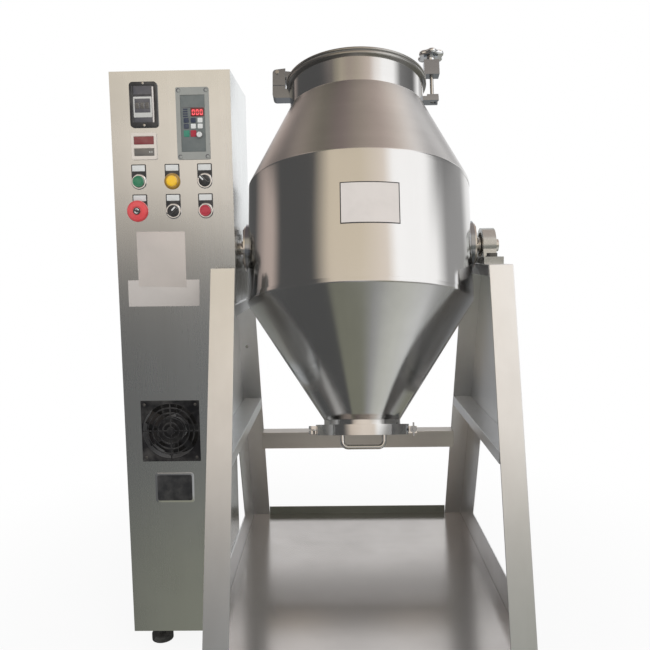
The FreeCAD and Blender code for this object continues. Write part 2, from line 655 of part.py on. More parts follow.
gland = fuse(tube(s.gland_radius, s.gland_bore, Dim(8.0), -s.fan_x, ZERO, cabinet_base - 8),
             tube(s.gland_stem, s.gland_bore, Dim(10.0), -s.fan_x, ZERO, cabinet_base),
             tube(s.gland_radius, s.gland_bore, Dim(5.0), -s.fan_x, ZERO, cabinet_base + s.cabinet_sheet))
place(gland, "cable_gland")


# Panel devices: what is seen in front, and the contact blocks behind
def panel_piece(spot, proud, depth, radius=3.0):
    """A moulded case that stands out of the panel and reaches back through its cut-out."""
    x, z, wide, tall = spot
    body = new_body()
    face = slab(body, "XZ", -s.cabinet_front - proud, proud, rectangle(x, z, wide, tall))
    soften(body, face, radius, lying)
    slab(body, "XZ", -s.cabinet_front, depth, rectangle(x, z, wide, tall, 3.2))
    return body


timer = panel_piece(TIMER, s.timer_proud, s.timer_deep)
slab(timer, "XZ", -s.cabinet_front - s.timer_proud, s.timer_recess, rectangle(*TIMER, s.timer_rim), remove=True)
place(timer, "timer_case")
meter = panel_piece(METER, s.meter_proud, s.meter_deep)
meter_x = METER[0] + 5
window_wide = s.meter_width - 10
upper_window = rectangle(meter_x, METER[1] + 28, window_wide, s.meter_height * 0.3)
lower_window = rectangle(meter_x, METER[1] + 7, window_wide, s.meter_height * 0.28)
slab(meter, "XZ", -s.cabinet_front - s.meter_proud, s.meter_recess, upper_window, lower_window, remove=True)
place(meter, "meter_case")
inverter = panel_piece(INVERTER, s.inverter_proud, s.inverter_deep)
inset_face = rectangle(INVERTER[0] + 8, INVERTER[1] + 14, s.inverter_width - 15.5, s.inverter_height - 28)
slab(inverter, "XZ", -s.cabinet_front - s.inverter_proud, Dim(1.5), inset_face, remove=True)
place(inverter, "inverter_keypad")
speed_x = INVERTER[0] + 43
speed_z = INVERTER[1] + 45
spigot = fuse(rod(s.speed_knob_radius, Dim(5.2), speed_x, -s.cabinet_front - s.speed_knob_proud, speed_z, "y"),
              block(1.5, 1.0, 4.0, speed_x - 0.75, -s.cabinet_front - s.speed_knob_proud - 1, speed_z))
place(spigot, "speed_knob")

collars = []
contacts = []
legends = []
front_y = -s.cabinet_front
for number, (x, z) in enumerate(DEVICES):
    stem_bore = s.button_radius - 2
    bezel = tube(s.collar_radius, s.button_radius + s.slack, s.collar_proud, x,
                 front_y - s.collar_proud, z, "y")
    barrel = tube(s.panel_hole - 0.2, stem_bore + s.slack, s.barrel_deep, x, front_y, z, "y")
    collars.append(fuse(bezel, barrel))
    contacts.append(block(s.contact_side, s.contact_deep, s.contact_side,
                          x - s.contact_side / 2, front_y + s.barrel_deep, z - s.contact_side / 2))
    if number != 3:
        tall, rise = s.legend_height, s.legend_rise
    else:
        tall, rise = s.legend_height - 4, s.legend_rise + 3.5
    legends.append(block(s.legend_width, s.legend_thick, tall, x - s.legend_width / 2,
                         front_y - s.legend_thick, z + rise))
place(group(*collars), "button_collars")
place(group(*contacts), "contact_blocks")
place(group(*legends), "legend_plates")


def push_button(label, x, z, cap_radius, proud):
    """A domed cap on a stem that slides in the collar."""
    body = new_body()
    cap_low = front_y - s.collar_proud - proud
    cap = slab(body, "XZ", cap_low, proud, (x, z, cap_radius))
    soften(body, cap, 2.0, lambda e: abs(e.BoundBox.YMin - float(cap_low)) < 0.01)
    slab(body, "XZ", front_y - s.collar_proud, s.stem_depth, (x, z, s.button_radius - 2))
    place(body, label)


push_button("green_button", *DEVICES[0], s.button_radius, s.button_proud)
push_button("yellow_pilot_lamp", *DEVICES[1], s.button_radius, s.button_proud)
push_button("red_button", *DEVICES[5], s.button_radius, s.button_proud)
body = new_body()
x, z = DEVICES[3]
slab(body, "XZ", front_y - s.collar_proud, s.stem_depth, (x, z, s.button_radius - 2))
neck_proud = s.mushroom_proud - s.mushroom_thick
slab(body, "XZ", front_y - neck_proud, neck_proud - s.collar_proud, (x, z, s.button_radius))
head = slab(body, "XZ", front_y - s.mushroom_proud, s.mushroom_thick, (x, z, s.mushroom_radius))
soften(body, head, 4.0, lambda e: abs(e.BoundBox.YMin - float(front_y - s.mushroom_proud)) < 0.01)
place(body, "emergency_stop_head")


def selector(label, x, z, lean):
    """A turning knob with a raised grip bar that points up and to one side."""
    body = new_body()
    slab(body, "XZ", front_y - s.collar_proud, s.stem_depth, (x, z, s.button_radius - 2))
    disc_y = front_y - s.collar_proud - s.knob_disc
    slab(body, "XZ", disc_y, s.knob_disc + 3, (x, z, s.button_radius))
    turn = math.radians(45.0 * lean)
    wide, long = s.knob_bar / 2, s.knob_bar_length / 2
    bar_corners = [(-wide, -long), (wide, -long), (wide, long), (-wide, long)]
    grip = [(x + (u * math.cos(turn) + v * math.sin(turn)), z + (v * math.cos(turn) - u * math.sin(turn)))
            for u, v in bar_corners]
    slab(body, "XZ", disc_y - s.knob_grip, s.knob_grip, grip)
    place(body, label)


selector("upper_selector", *DEVICES[2], -1)
selector("lower_selector", *DEVICES[4], 1)

# Cooling fan behind its opening: frame, guard rings and bladed rotor
fan_y = inside + s.slack
body = new_body()
half = s.fan_side / 2
spot = (-s.fan_x, -s.fan_level)
square = [(spot[0] - half, spot[1] - half), (spot[0] + half, spot[1] - half),
          (spot[0] + half, spot[1] + half), (spot[0] - half, spot[1] + half)]
case = slab(body, "XZ", inside, s.fan_deep, square)
soften(body, case, 5.0, lying)
slab(body, "XZ", inside, s.fan_deep, (*spot, s.fan_bore + 0.5), remove=True)
spider_y = inside + s.fan_deep - 3
slab(body, "XZ", spider_y, Dim(3.0), (*spot, s.fan_hub))
slab(body, "XZ", spider_y - 1.4, Dim(2.0), (*spot, s.fan_hub - 8))
reach = s.fan_bore + 2
slim = s.fan_spoke / 2
across = [(spot[0] - reach, spot[1] - slim), (spot[0] + reach, spot[1] - slim),
          (spot[0] + reach, spot[1] + slim), (spot[0] - reach, spot[1] + slim)]
down = [(spot[0] - slim, spot[1] - reach), (spot[0] + slim, spot[1] - reach),
        (spot[0] + slim, spot[1] + reach), (spot[0] - slim, spot[1] + reach)]
for bar_outline in (across, down):
    slab(body, "XZ", spider_y, Dim(3.0), bar_outline)
place(body, "fan_frame")
thin = s.guard_wire / 2
half_span = s.guard_span / 2
guard = []
for ring in range(5):
    radius = s.fan_bore - s.guard_pitch * ring
    guard.append(tube(radius + thin, radius - thin, Dim(2.0), spot[0], front_y - 2, spot[1], "y"))
spokes = [block(s.guard_span, 1.6, s.guard_wire, spot[0] - half_span, front_y - 1.9, spot[1] - thin),
          block(s.guard_wire, 1.6, s.guard_span, spot[0] - thin, front_y - 1.9, spot[1] - half_span)]
place(fuse(*guard, *spokes, rod(Dim(8.0), Dim(2.0), spot[0], front_y - 2, spot[1], "y")), "fan_guard")
body = new_body()
spin(body, [[(ZERO, -s.fan_deep + 5), (s.fan_hub, -s.fan_deep + 5), (s.fan_hub, Dim(-6.0)),
             (ZERO, Dim(-6.0))]])
blade = [(Dim(-11.0), -s.fan_deep + 10), (Dim(-8.0), -s.fan_deep + 10),
         (Dim(11.0), -s.fan_deep + 28), (Dim(8.0), -s.fan_deep + 28)]
pitched = slab(body, "YZ", s.fan_hub - 4, s.fan_bore + 2 - s.fan_hub, blade)
repeat(body, pitched, s.fan_blades)
move(body, spot[0], fan_y, spot[1], FreeCAD.Rotation(FreeCAD.Vector(1, 0, 0), 90))
place(group(body), "fan_rotor")

# Vessel: belly, feed cone, discharge cone and their flanges
wall = s.vessel_wall
belly_end = s.belly_half - s.skirt
body = new_body()
spin(body, [[(s.belly_radius - wall, -belly_end), (s.belly_radius, -belly_end),
             (s.belly_radius, belly_end), (s.belly_radius - wall, belly_end)]])
place(body, "belly_shell", True)


def cone(label, side, radius, level, end):
    body = new_body()
    drop = wall * 0.45
    shell = spin(body, [[
        (s.belly_radius - wall, belly_end * side), (s.belly_radius, belly_end * side),
        (s.belly_radius, s.belly_half * side), (radius, level * side), (radius, end * side),
        (radius - wall, end * side), (radius - wall, (level - drop) * side),
        (s.belly_radius - wall, (s.belly_half - drop) * side),
    ]])

    def knuckle(edge):
        box = edge.BoundBox
        level_now = abs(box.ZMax)
        flat = box.ZLength < 0.01
        return flat and abs(level_now - NUMBERS["belly_half"]) < 3 and box.XMax > NUMBERS["belly_radius"] * 0.9

    soften(body, shell, 7.0, knuckle)
    place(body, label, True)


cone("feed_cone", 1, s.mouth_radius, s.mouth_level, s.flange_level)
cone("discharge_cone", -1, s.spout_radius, s.spout_level, s.ferrule_level)


def flat_ring(label, outer, inner, low, thick):
    body = new_body()
    spin(body, [[(inner, low), (outer, low), (outer, low + thick), (inner, low + thick)]])
    place(body, label, True)


flat_ring("feed_flange", s.flange_radius, s.mouth_radius - wall, s.flange_level, s.flange_thick)
gasket_low = s.flange_level + s.flange_thick
flat_ring("lid_gasket", s.flange_radius - 2, s.mouth_radius - wall, gasket_low, s.gasket_thick)
lid_low = gasket_low + s.gasket_thick
body = new_body()
spin(body, [[
    (ZERO, lid_low + s.lid_rise), (s.mouth_radius * 0.6, lid_low + s.lid_rise - 2),
    (s.mouth_radius * 0.9, lid_low), (s.flange_radius, lid_low),
    (s.flange_radius, lid_low + s.lid_rim_thick),
    (s.mouth_radius * 0.9 + 1, lid_low + s.lid_rim_thick),
    (s.mouth_radius * 0.6, lid_low + s.lid_rise + s.lid_wall),
    (ZERO, lid_low + s.lid_rise + s.lid_wall + 2),
]])
place(body, "lid_cover", True)
ferrule_low = -s.ferrule_level - s.ferrule_thick
flat_ring("discharge_ferrule", s.ferrule_radius, s.spout_radius - wall, ferrule_low, s.ferrule_thick)
flat_ring("discharge_gasket", s.ferrule_radius - 3, s.spout_radius - wall,
          ferrule_low - s.gasket_thick, s.gasket_thick)
cap_top = ferrule_low - s.gasket_thick
body = new_body()
spin(body, [[(ZERO, cap_top - s.cap_thick), (s.ferrule_radius, cap_top - s.cap_thick),
             (s.ferrule_radius, cap_top), (ZERO, cap_top)]])
grip_top = cap_top - s.cap_thick
half_grip = s.grip_width / 2 - s.grip_wire
drop = s.grip_drop - s.grip_wire
legs = [rod(s.grip_wire, drop, x, -s.spout_radius * 0.62, grip_top - drop)
        for x in (half_grip, -half_grip)]
corners = []
for x in (half_grip, -half_grip):
    ball = doc.addObject("Part::Sphere", "corner")
    bind(ball, "Radius", s.grip_wire)
    corners.append(move(ball, x, -s.spout_radius * 0.62, grip_top - drop))
rung = rod(s.grip_wire, half_grip * 2, -half_grip, -s.spout_radius * 0.62, grip_top - drop, "x")
place(fuse(body, *legs, *corners, rung), "discharge_cap", True)

# Discharge clamp: two hinged half rings drawn together by a wing bolt
ring_top = -s.ferrule_level + s.ring_bite
ring_low = ring_top - s.ring_depth - s.ring_bite + 2
ring_x = s.ring_outer + s.ring_knuckle + 2
bolt_x = ring_x


def half_ring(label, way):
    body = new_body()
    bite = s.ferrule_radius + s.slack
    lips = s.spout_radius + 2
    spin(body, [[
        (lips, ring_top), (s.ring_outer, ring_top), (s.ring_outer, ring_low), (lips, ring_low),
        (lips, grip_top - s.slack), (bite, grip_top - s.slack), (bite, s.slack - s.ferrule_level),
        (lips, s.slack - s.ferrule_level),
    ]])
    away = s.ring_outer + 20
    keep = Dim(1.0)
    low_y = -away if way > 0 else -keep
    gone = [(-away, low_y), (away, low_y), (away, low_y + away + keep), (-away, low_y + away + keep)]
    slab(body, "XY", ring_low - 1, s.ring_depth + 8, gone, remove=True)
    thick = s.ring_ear_thick
    ear_low = keep if way > 0 else -keep - thick
    ear_end = s.ring_outer + s.ring_ear_reach
    ear = [(s.ring_outer - 3, ear_low), (ear_end, ear_low),
           (ear_end, ear_low + thick), (s.ring_outer - 3, ear_low + thick)]
    slab(body, "XY", ring_low + 2, s.ring_depth - 4, ear)
    knuckle_low = ring_low + 2 if way > 0 else ring_low + 2 + s.ring_depth / 2
    tall = s.ring_depth / 2 - 2 - s.slack
    strap_low = Dim(1.0) if way > 0 else Dim(-8.0)
    strap = [(-ring_x, strap_low), (6 - s.ring_outer, strap_low), (6 - s.ring_outer, strap_low + 7),
             (-ring_x, strap_low + 7)]
    slab(body, "XY", knuckle_low, tall, strap)
    slab(body, "XY", knuckle_low, tall, (-ring_x, ZERO, s.ring_knuckle))
    slab(body, "XY", knuckle_low - 1, tall + 2, (-ring_x, ZERO, s.ring_pin + s.running), remove=True)
    bolt_level = (ring_top + ring_low) / 2
    way_through = s.wing_stem + 0.6
    slab(body, "XZ", ear_low - 1, thick + 2, (bolt_x, bolt_level, way_through), remove=True)
    if way > 0:
        mouth = [(bolt_x, bolt_level - way_through), (ear_end + 1, bolt_level - way_through),
                 (ear_end + 1, bolt_level + way_through), (bolt_x, bolt_level + way_through)]
        slab(body, "XZ", ear_low - 1, thick + 2, mouth, remove=True)
    place(body, label, True)
    return bolt_level


bolt_level = half_ring("clamp_ring_rear", 1)
half_ring("clamp_ring_front", -1)
place(rod(s.ring_pin, s.ring_depth - 2, -ring_x, ZERO, ring_low + 1), "clamp_ring_pin", True)
wing_nut = fuse(
    rod(s.wing_stem, s.wing_stem_length, bolt_x, Dim(-22.0), bolt_level, "y"),
    rod(s.wing_boss, Dim(7.0), bolt_x, -s.ring_ear_thick - 8.3, bolt_level, "y"),
    block(3.0, 3.0, s.wing_span, bolt_x - 1.5, -s.ring_ear_thick - 7, bolt_level - s.wing_span / 2),
)
place(wing_nut, "wing_bolt", True)


# Trunnions: saddle pad on the belly, flanged shaft and its bolts
def trunnion(name, side, reach):
    pad_end = s.belly_radius + s.hub_gap
    pad_radius = s.hub_radius + 4
    pad = rod(pad_radius, s.hub_radius * 0.65, (pad_end - s.hub_radius * 0.65) if side > 0 else -pad_end, along="x")
    saddle = cut(pad, rod(s.belly_radius, pad_radius * 2.8, z=-pad_radius * 1.4))
    flange_x = pad_end if side > 0 else -pad_end - s.hub_thick
    flange = rod(s.hub_radius, s.hub_thick, flange_x, along="x")
    start = pad_end if side > 0 else -reach
    shaft = rod(s.shaft_radius, reach - pad_end, start, along="x")
    place(fuse(flange, shaft), f"{name}_trunnion_shaft", True)
    heads = []
    for index in range(6):
        angle = math.pi * index / 3
        head = rod(s.hub_bolt_radius * 1.6, s.hub_bolt_head,
                   pad_end + s.hub_thick if side > 0 else -pad_end - s.hub_thick - s.hub_bolt_head,
                   s.hub_bolt_circle * math.cos(angle), s.hub_bolt_circle * math.sin(angle), "x")
        heads.append(head)
    return saddle, heads


pad_right, heads_right = trunnion("right", 1, shaft_end)
pad_left, heads_left = trunnion("left", -1, s.gearbox_start + s.gearbox_width + 6)
place(group(pad_right, pad_left), "hub_pads", True)
place(group(*heads_right, *heads_left), "hub_bolts", True)

# Lid hinge on the left: bracket on the neck, pin, and the arm welded to the lid
neck = s.mouth_radius - 1
post_x = -s.hinge_reach - 10
body = new_body()
post_inner = -s.flange_radius - s.hinge_clear
hinge_low = s.flange_level - s.hinge_fall
base = [(post_x, hinge_low), (-neck, hinge_low), (-neck, s.flange_level), (post_inner, s.flange_level),
        (post_inner, s.hinge_level + 9), (post_x, s.hinge_level + 6)]
half_hinge = s.hinge_width / 2
half_arm = s.hinge_arm_width / 2
bracket = slab(body, "XZ", -half_hinge, s.hinge_width, base)
soften(body, bracket, 8.0, lambda e: lying(e) and e.BoundBox.XMax < -float(s.hinge_reach) - 5)
fork = [(post_x - 1, s.hinge_level - 20), (post_inner + 1, s.hinge_level - 20),
        (post_inner + 1, s.hinge_level + 12), (post_x - 1, s.hinge_level + 12)]
slab(body, "XZ", -half_arm - s.slack, s.hinge_arm_width + s.slack * 2, fork, remove=True)
pin_hole = (-s.hinge_reach, s.hinge_level, s.hinge_pin_radius)
slab(body, "XZ", -half_hinge - 4, s.hinge_width + 8, pin_hole, remove=True)
slab(body, "XY", hinge_low - 1, s.hinge_fall + 2, (ZERO, ZERO, s.mouth_radius), remove=True)
seam_low = s.flange_level + s.flange_thick + 1
seam = [(post_x - 1, seam_low), (post_inner + 1, seam_low),
        (post_inner + 1, seam_low + s.hinge_seam), (post_x - 1, seam_low + s.hinge_seam)]
slab(body, "XZ", -half_hinge - 1, s.hinge_seam + 1, seam, remove=True)
place(body, "hinge_bracket", True)
place(rod(s.hinge_pin_radius, s.hinge_width + 6, -s.hinge_reach, -half_hinge - 3, s.hinge_level, "y"), "hinge_pin", True)
body = new_body()
rim_top = lid_low + s.lid_rim_thick
arm = [(-s.hinge_reach, s.hinge_level - 8), (-s.flange_radius - 1, s.hinge_level - 8),
       (-s.flange_radius - 1, rim_top), (-s.mouth_radius * 0.91, rim_top),
       (-s.mouth_radius * 0.91, s.hinge_level + 4), (-s.hinge_reach, s.hinge_level + 8)]
slab(body, "XZ", -half_arm, s.hinge_arm_width, arm)
slab(body, "XZ", -half_arm, s.hinge_arm_width, (-s.hinge_reach, s.hinge_level, s.hinge_pin_radius + 5))
bore = (-s.hinge_reach, s.hinge_level, s.hinge_pin_radius + s.running)
slab(body, "XZ", -half_arm - 1, s.hinge_arm_width + 2, bore, remove=True)
place(body, "lid_hinge_arm", True)

# Lid clamp on the right: slotted lug on the neck, block on the lid, screw and star knob
body = new_body()
reach = s.knob_reach
half_lug = s.lug_width / 2
lug = [(neck, -half_lug), (reach + 12, -half_lug), (reach + 12, half_lug), (neck, half_lug)]
slab(body, "XY", s.lug_level, s.lug_thick, lug)
slot = s.rod_radius + 0.6
mouth = [(reach, -slot), (reach + 14, -slot), (reach + 14, slot), (reach, slot)]
slab(body, "XY", s.lug_level, s.lug_thick, (reach, ZERO, slot), remove=True)
slab(body, "XY", s.lug_level, s.lug_thick, mouth, remove=True)
slab(body, "XY", s.lug_level - 1, s.lug_thick + 2, (ZERO, ZERO, s.mouth_radius), remove=True)
for way in (-1, 1):
    fin_y = (slot + 0.4) * way if way > 0 else -slot - 5.4
    ear = [(reach - 12, fin_y), (reach + 12, fin_y), (reach + 12, fin_y + 5), (reach - 12, fin_y + 5)]
    slab(body, "XY", s.lug_level + s.lug_thick, s.lug_ear, ear)
place(body, "clamp_lug", True)
body = new_body()
block_low = rim_top
block_top = s.knob_level - 2
side = s.block_width / 2
cheek = [(reach - s.block_half * 2, -side), (s.flange_radius, -side),
         (s.flange_radius, side), (reach - s.block_half * 2, side)]
slab(body, "XY", block_low, s.block_foot, cheek)
tower = [(reach - s.block_half, -side), (reach + s.block_half, -side),
         (reach + s.block_half, side), (reach - s.block_half, side)]
slab(body, "XY", block_low + s.block_lift, block_top - block_low - s.block_lift, tower)
slab(body, "XY", block_low - 1, block_top - block_low + 2, (reach, ZERO, s.rod_radius + s.running), remove=True)
place(body, "lid_clamp_block", True)
rod_foot = s.lug_level + 2
rod_length = s.knob_level + s.knob_height - 6 - rod_foot
place(rod(s.rod_radius, rod_length, reach, ZERO, rod_foot), "clamp_screw", True)
body = new_body()
slab(body, "XY", s.knob_level - 1.5, s.knob_height, (reach, ZERO, s.rod_radius + 5))
slab(body, "XY", s.knob_level + 6, s.knob_height - 6, (reach, ZERO, s.knob_radius * 0.86))
lobe_radius = s.knob_radius * 0.32
for index in range(int(NUMBERS["knob_lobes"])):
    angle = 2 * math.pi * index / NUMBERS["knob_lobes"]
    out = s.knob_radius - lobe_radius
    lobe = (reach + out * math.cos(angle), out * math.sin(angle), lobe_radius)
    slab(body, "XY", s.knob_level + 6, s.knob_height - 6, lobe)
slab(body, "XY", s.knob_level - 2, s.knob_height - 3.5, (reach, ZERO, s.rod_radius + s.running), remove=True)
place(body, "star_knob", True)

# Check every object and write each piece
doc.recompute()
bad = [o.Label for o in doc.Objects if "Invalid" in o.State or "Error" in o.State]
if bad:
    raise RuntimeError(f"not computed: {bad}")
low = FreeCAD.BoundBox()
for node in NODES:
    if node.Shape.isNull() or not node.Shape.isValid():
        raise RuntimeError(f"bad shape: {node.Label}")
    low.add(node.Shape.BoundBox)
    node.Shape.exportStep(f"parts/{node.Label}.step")
print(len(NODES), "pieces", low)
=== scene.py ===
import json
import math

import bmesh
import bpy
import numpy as np
from mathutils import Matrix, Vector

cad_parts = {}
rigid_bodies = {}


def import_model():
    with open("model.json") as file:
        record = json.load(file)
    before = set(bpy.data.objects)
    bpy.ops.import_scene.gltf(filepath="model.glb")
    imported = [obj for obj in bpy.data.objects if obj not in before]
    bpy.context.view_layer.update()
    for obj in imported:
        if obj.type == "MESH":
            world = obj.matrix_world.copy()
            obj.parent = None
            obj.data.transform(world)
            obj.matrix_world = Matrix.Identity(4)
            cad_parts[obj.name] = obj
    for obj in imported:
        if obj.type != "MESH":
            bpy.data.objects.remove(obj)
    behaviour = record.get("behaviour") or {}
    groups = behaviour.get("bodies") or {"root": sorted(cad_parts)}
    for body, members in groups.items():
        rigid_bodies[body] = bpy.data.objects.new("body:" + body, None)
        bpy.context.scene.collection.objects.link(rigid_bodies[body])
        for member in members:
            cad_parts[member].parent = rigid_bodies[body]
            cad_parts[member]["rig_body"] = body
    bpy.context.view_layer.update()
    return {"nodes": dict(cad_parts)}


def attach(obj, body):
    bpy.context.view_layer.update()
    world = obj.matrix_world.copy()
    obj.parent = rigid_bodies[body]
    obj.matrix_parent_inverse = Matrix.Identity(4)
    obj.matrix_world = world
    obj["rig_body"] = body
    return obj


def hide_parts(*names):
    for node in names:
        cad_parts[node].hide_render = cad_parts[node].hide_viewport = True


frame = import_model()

cadNodes = frame["nodes"]

# The drawing's own frame is in millimetres about the trunnion centre: X along the shafts,
# Y away from the operator, Z up. datum lifts it onto the floor, tilt leans the vessel.
datum = np.array([0.0925, -0.0242055, 0.81])
tilt = math.radians(14.6)


def onFloor(points):
    # millimetres about the trunnion centre to metres on the floor
    return np.asarray(points, float).reshape(-1, 3) / 1000 + datum


def onVessel(points):
    # the same, after leaning the vessel's own axis back by the tilt about X
    p = np.asarray(points, float).reshape(-1, 3)
    leaned = np.stack([p[:, 0], p[:, 1] * math.cos(tilt) + p[:, 2] * math.sin(tilt),
                       p[:, 2] * math.cos(tilt) - p[:, 1] * math.sin(tilt)], axis=1)
    return leaned / 1000 + datum


# ---- camera at the photograph's viewing angle
viewpoint = {"place": (0.04681, -1.42861, 0.79936), "pitch": 6.019, "yaw": -1.067,
             "roll": 0.877, "focalPixels": 682.574, "framePixels": 650}


def addCamera():
    pitch, yaw, roll = (math.radians(viewpoint[k]) for k in ("pitch", "yaw", "roll"))
    ahead = Vector((math.sin(yaw) * math.cos(pitch), math.cos(yaw) * math.cos(pitch), -math.sin(pitch)))
    right = Vector((math.cos(yaw), -math.sin(yaw), 0))
    down = ahead.cross(right)
    turnedRight = math.cos(roll) * right + math.sin(roll) * down
    turnedDown = -math.sin(roll) * right + math.cos(roll) * down
    data = bpy.data.cameras.new("photoCamera")
    data.sensor_width = 36
    data.lens = 36 * viewpoint["focalPixels"] / viewpoint["framePixels"]
    camera = bpy.data.objects.new("photoCamera", data)
    place = Matrix((turnedRight, -turnedDown, -ahead)).transposed().to_4x4()
    place.translation = Vector(viewpoint["place"])
    camera.matrix_world = place
    bpy.context.scene.collection.objects.link(camera)
    bpy.context.scene.camera = camera


addCamera()
print("camera ready")


# ---- shader helpers and the node groups that the finishes share
def link(tree, source, target):
    tree.links.new(source, target)


def math2(tree, operation, first, second=None, third=None, clamp=False):
    # one Math node; each input is a number or a socket
    node = tree.nodes.new("ShaderNodeMath")
    node.operation = operation
    node.use_clamp = clamp
    for index, value in enumerate((first, second, third)):
        if value is None:
            continue
        if isinstance(value, (int, float)):
            node.inputs[index].default_value = value
        else:
            link(tree, value, node.inputs[index])
    return node.outputs[0]


def mixColour(tree, factor, first, second, blend="MIX"):
    node = tree.nodes.new("ShaderNodeMix")
    node.data_type = "RGBA"
    node.blend_type = blend
    for socket, value in ((node.inputs[0], factor), (node.inputs[6], first), (node.inputs[7], second)):
        if isinstance(value, (int, float)):
            socket.default_value = value
        elif isinstance(value, (tuple, list)):
            socket.default_value = (*value[:3], 1)
        else:
            link(tree, value, socket)
    return node.outputs[2]


def noise(tree, vector, scale, detail=3.0, rough=0.5):
    node = tree.nodes.new("ShaderNodeTexNoise")
    link(tree, vector, node.inputs["Vector"])
    if isinstance(scale, (int, float)):
        node.inputs["Scale"].default_value = scale
    else:
        link(tree, scale, node.inputs["Scale"])
    node.inputs["Detail"].default_value = detail
    node.inputs["Roughness"].default_value = rough
    return node.outputs["Fac"]


def remap(tree, value, fromLow=0.0, fromHigh=1.0, toLow=0.0, toHigh=1.0, smooth=False):
    # one Map Range node, straight or eased at both ends
    node = tree.nodes.new("ShaderNodeMapRange")
    if smooth:
        node.interpolation_type = "SMOOTHSTEP"
    for label, number in (("From Min", fromLow), ("From Max", fromHigh), ("To Min", toLow), ("To Max", toHigh)):
        node.inputs[label].default_value = number
    link(tree, value, node.inputs["Value"])
    return node.outputs[0]


def newGroup(name, takes, gives):
    tree = bpy.data.node_groups.new(name, "ShaderNodeTree")
    for label, kind, value in takes:
        socket = tree.interface.new_socket(name=label, in_out="INPUT", socket_type=kind)
        if value is not None:
            socket.default_value = value
    for label, kind in gives:
        tree.interface.new_socket(name=label, in_out="OUTPUT", socket_type=kind)
    return tree, tree.nodes.new("NodeGroupInput"), tree.nodes.new("NodeGroupOutput")


def makeGrainGroup():
    # brushing lines: noise stretched along Y of the vector it is given, fine and coarse
    tree, into, out = newGroup(
        "brushingLines",
        [("Vector", "NodeSocketVector", None), ("Across", "NodeSocketFloat", 900.0),
         ("Along", "NodeSocketFloat", 12.0)],
        [("Lines", "NodeSocketFloat"), ("Bands", "NodeSocketFloat")])
    scale = tree.nodes.new("ShaderNodeCombineXYZ")
    link(tree, into.outputs["Across"], scale.inputs[0])
    link(tree, into.outputs["Along"], scale.inputs[1])
    link(tree, into.outputs["Across"], scale.inputs[2])
    for name, factor, detail in (("Lines", 1.0, 4.0), ("Bands", 0.09, 2.0)):
        shrink = tree.nodes.new("ShaderNodeVectorMath")
        shrink.operation = "SCALE"
        link(tree, scale.outputs[0], shrink.inputs[0])
        shrink.inputs["Scale"].default_value = factor
        stretched = tree.nodes.new("ShaderNodeVectorMath")
        stretched.operation = "MULTIPLY"
        link(tree, into.outputs["Vector"], stretched.inputs[0])
        link(tree, shrink.outputs[0], stretched.inputs[1])
        link(tree, noise(tree, stretched.outputs[0], 1.0, detail, 0.55), out.inputs[name])
    return tree


def makeHandlingGroup():
    # handling marks: broad smudges broken by small spots, for colour and roughness
    tree, into, out = newGroup(
        "handlingMarks",
        [("Vector", "NodeSocketVector", None), ("Size", "NodeSocketFloat", 6.0)],
        [("Smudge", "NodeSocketFloat"), ("Speck", "NodeSocketFloat")])
    broad = noise(tree, into.outputs["Vector"], into.outputs["Size"], 4.0, 0.6)
    link(tree, remap(tree, broad, 0.42, 0.72), out.inputs["Smudge"])
    small = noise(tree, into.outputs["Vector"], math2(tree, "MULTIPLY", into.outputs["Size"], 22.0), 3.0, 0.6)
    link(tree, remap(tree, small, 0.62, 0.78), out.inputs["Speck"])
    return tree


def makeMouldGroup():
    # moulded or cast skin: fine pebbling and a slow drift of tone
    tree, into, out = newGroup(
        "mouldedSkin",
        [("Vector", "NodeSocketVector", None), ("Grit", "NodeSocketFloat", 900.0)],
        [("Pebble", "NodeSocketFloat"), ("Drift", "NodeSocketFloat")])
    link(tree, noise(tree, into.outputs["Vector"], into.outputs["Grit"], 2.0, 0.5), out.inputs["Pebble"])
    slow = math2(tree, "MULTIPLY", into.outputs["Grit"], 0.03)
    link(tree, noise(tree, into.outputs["Vector"], slow, 3.0, 0.5), out.inputs["Drift"])
    return tree


grainGroup = makeGrainGroup()
handlingGroup = makeHandlingGroup()
mouldGroup = makeMouldGroup()


def useGroup(tree, group, **values):
    node = tree.nodes.new("ShaderNodeGroup")
    node.node_tree = group
    for name, value in values.items():
        if isinstance(value, (int, float)):
            node.inputs[name].default_value = value
        else:
            link(tree, value, node.inputs[name])
    return node


def newMaterial(name):
    material = bpy.data.materials.new(name)
    material.use_nodes = True
    tree = material.node_tree
    shader = tree.nodes["Principled BSDF"]
    where = tree.nodes.new("ShaderNodeTexCoord").outputs["Object"]
    return material, tree, shader, where


def centred(tree, where, lean=0.0):
    # Object coordinates from the trunnion centre, and leaned with the vessel
    node = tree.nodes.new("ShaderNodeMapping")
    node.vector_type = "TEXTURE"
    node.inputs["Location"].default_value = tuple(datum)
    node.inputs["Rotation"].default_value = (-lean, 0, 0)
    link(tree, where, node.inputs["Vector"])
    return node.outputs[0]


def addBump(tree, shader, height, strength, distance):
    bump = tree.nodes.new("ShaderNodeBump")
    bump.inputs["Strength"].default_value = strength
    bump.inputs["Distance"].default_value = distance
    link(tree, height, bump.inputs["Height"])
    link(tree, bump.outputs[0], shader.inputs["Normal"])


# painted shade on the cabinet sheet, darker towards the floor: x * lean + z + rise is its level in metres, full below
# low
paintedLowShade = {"lean": 0.55, "rise": 0.14, "low": 0.80, "high": 1.0}


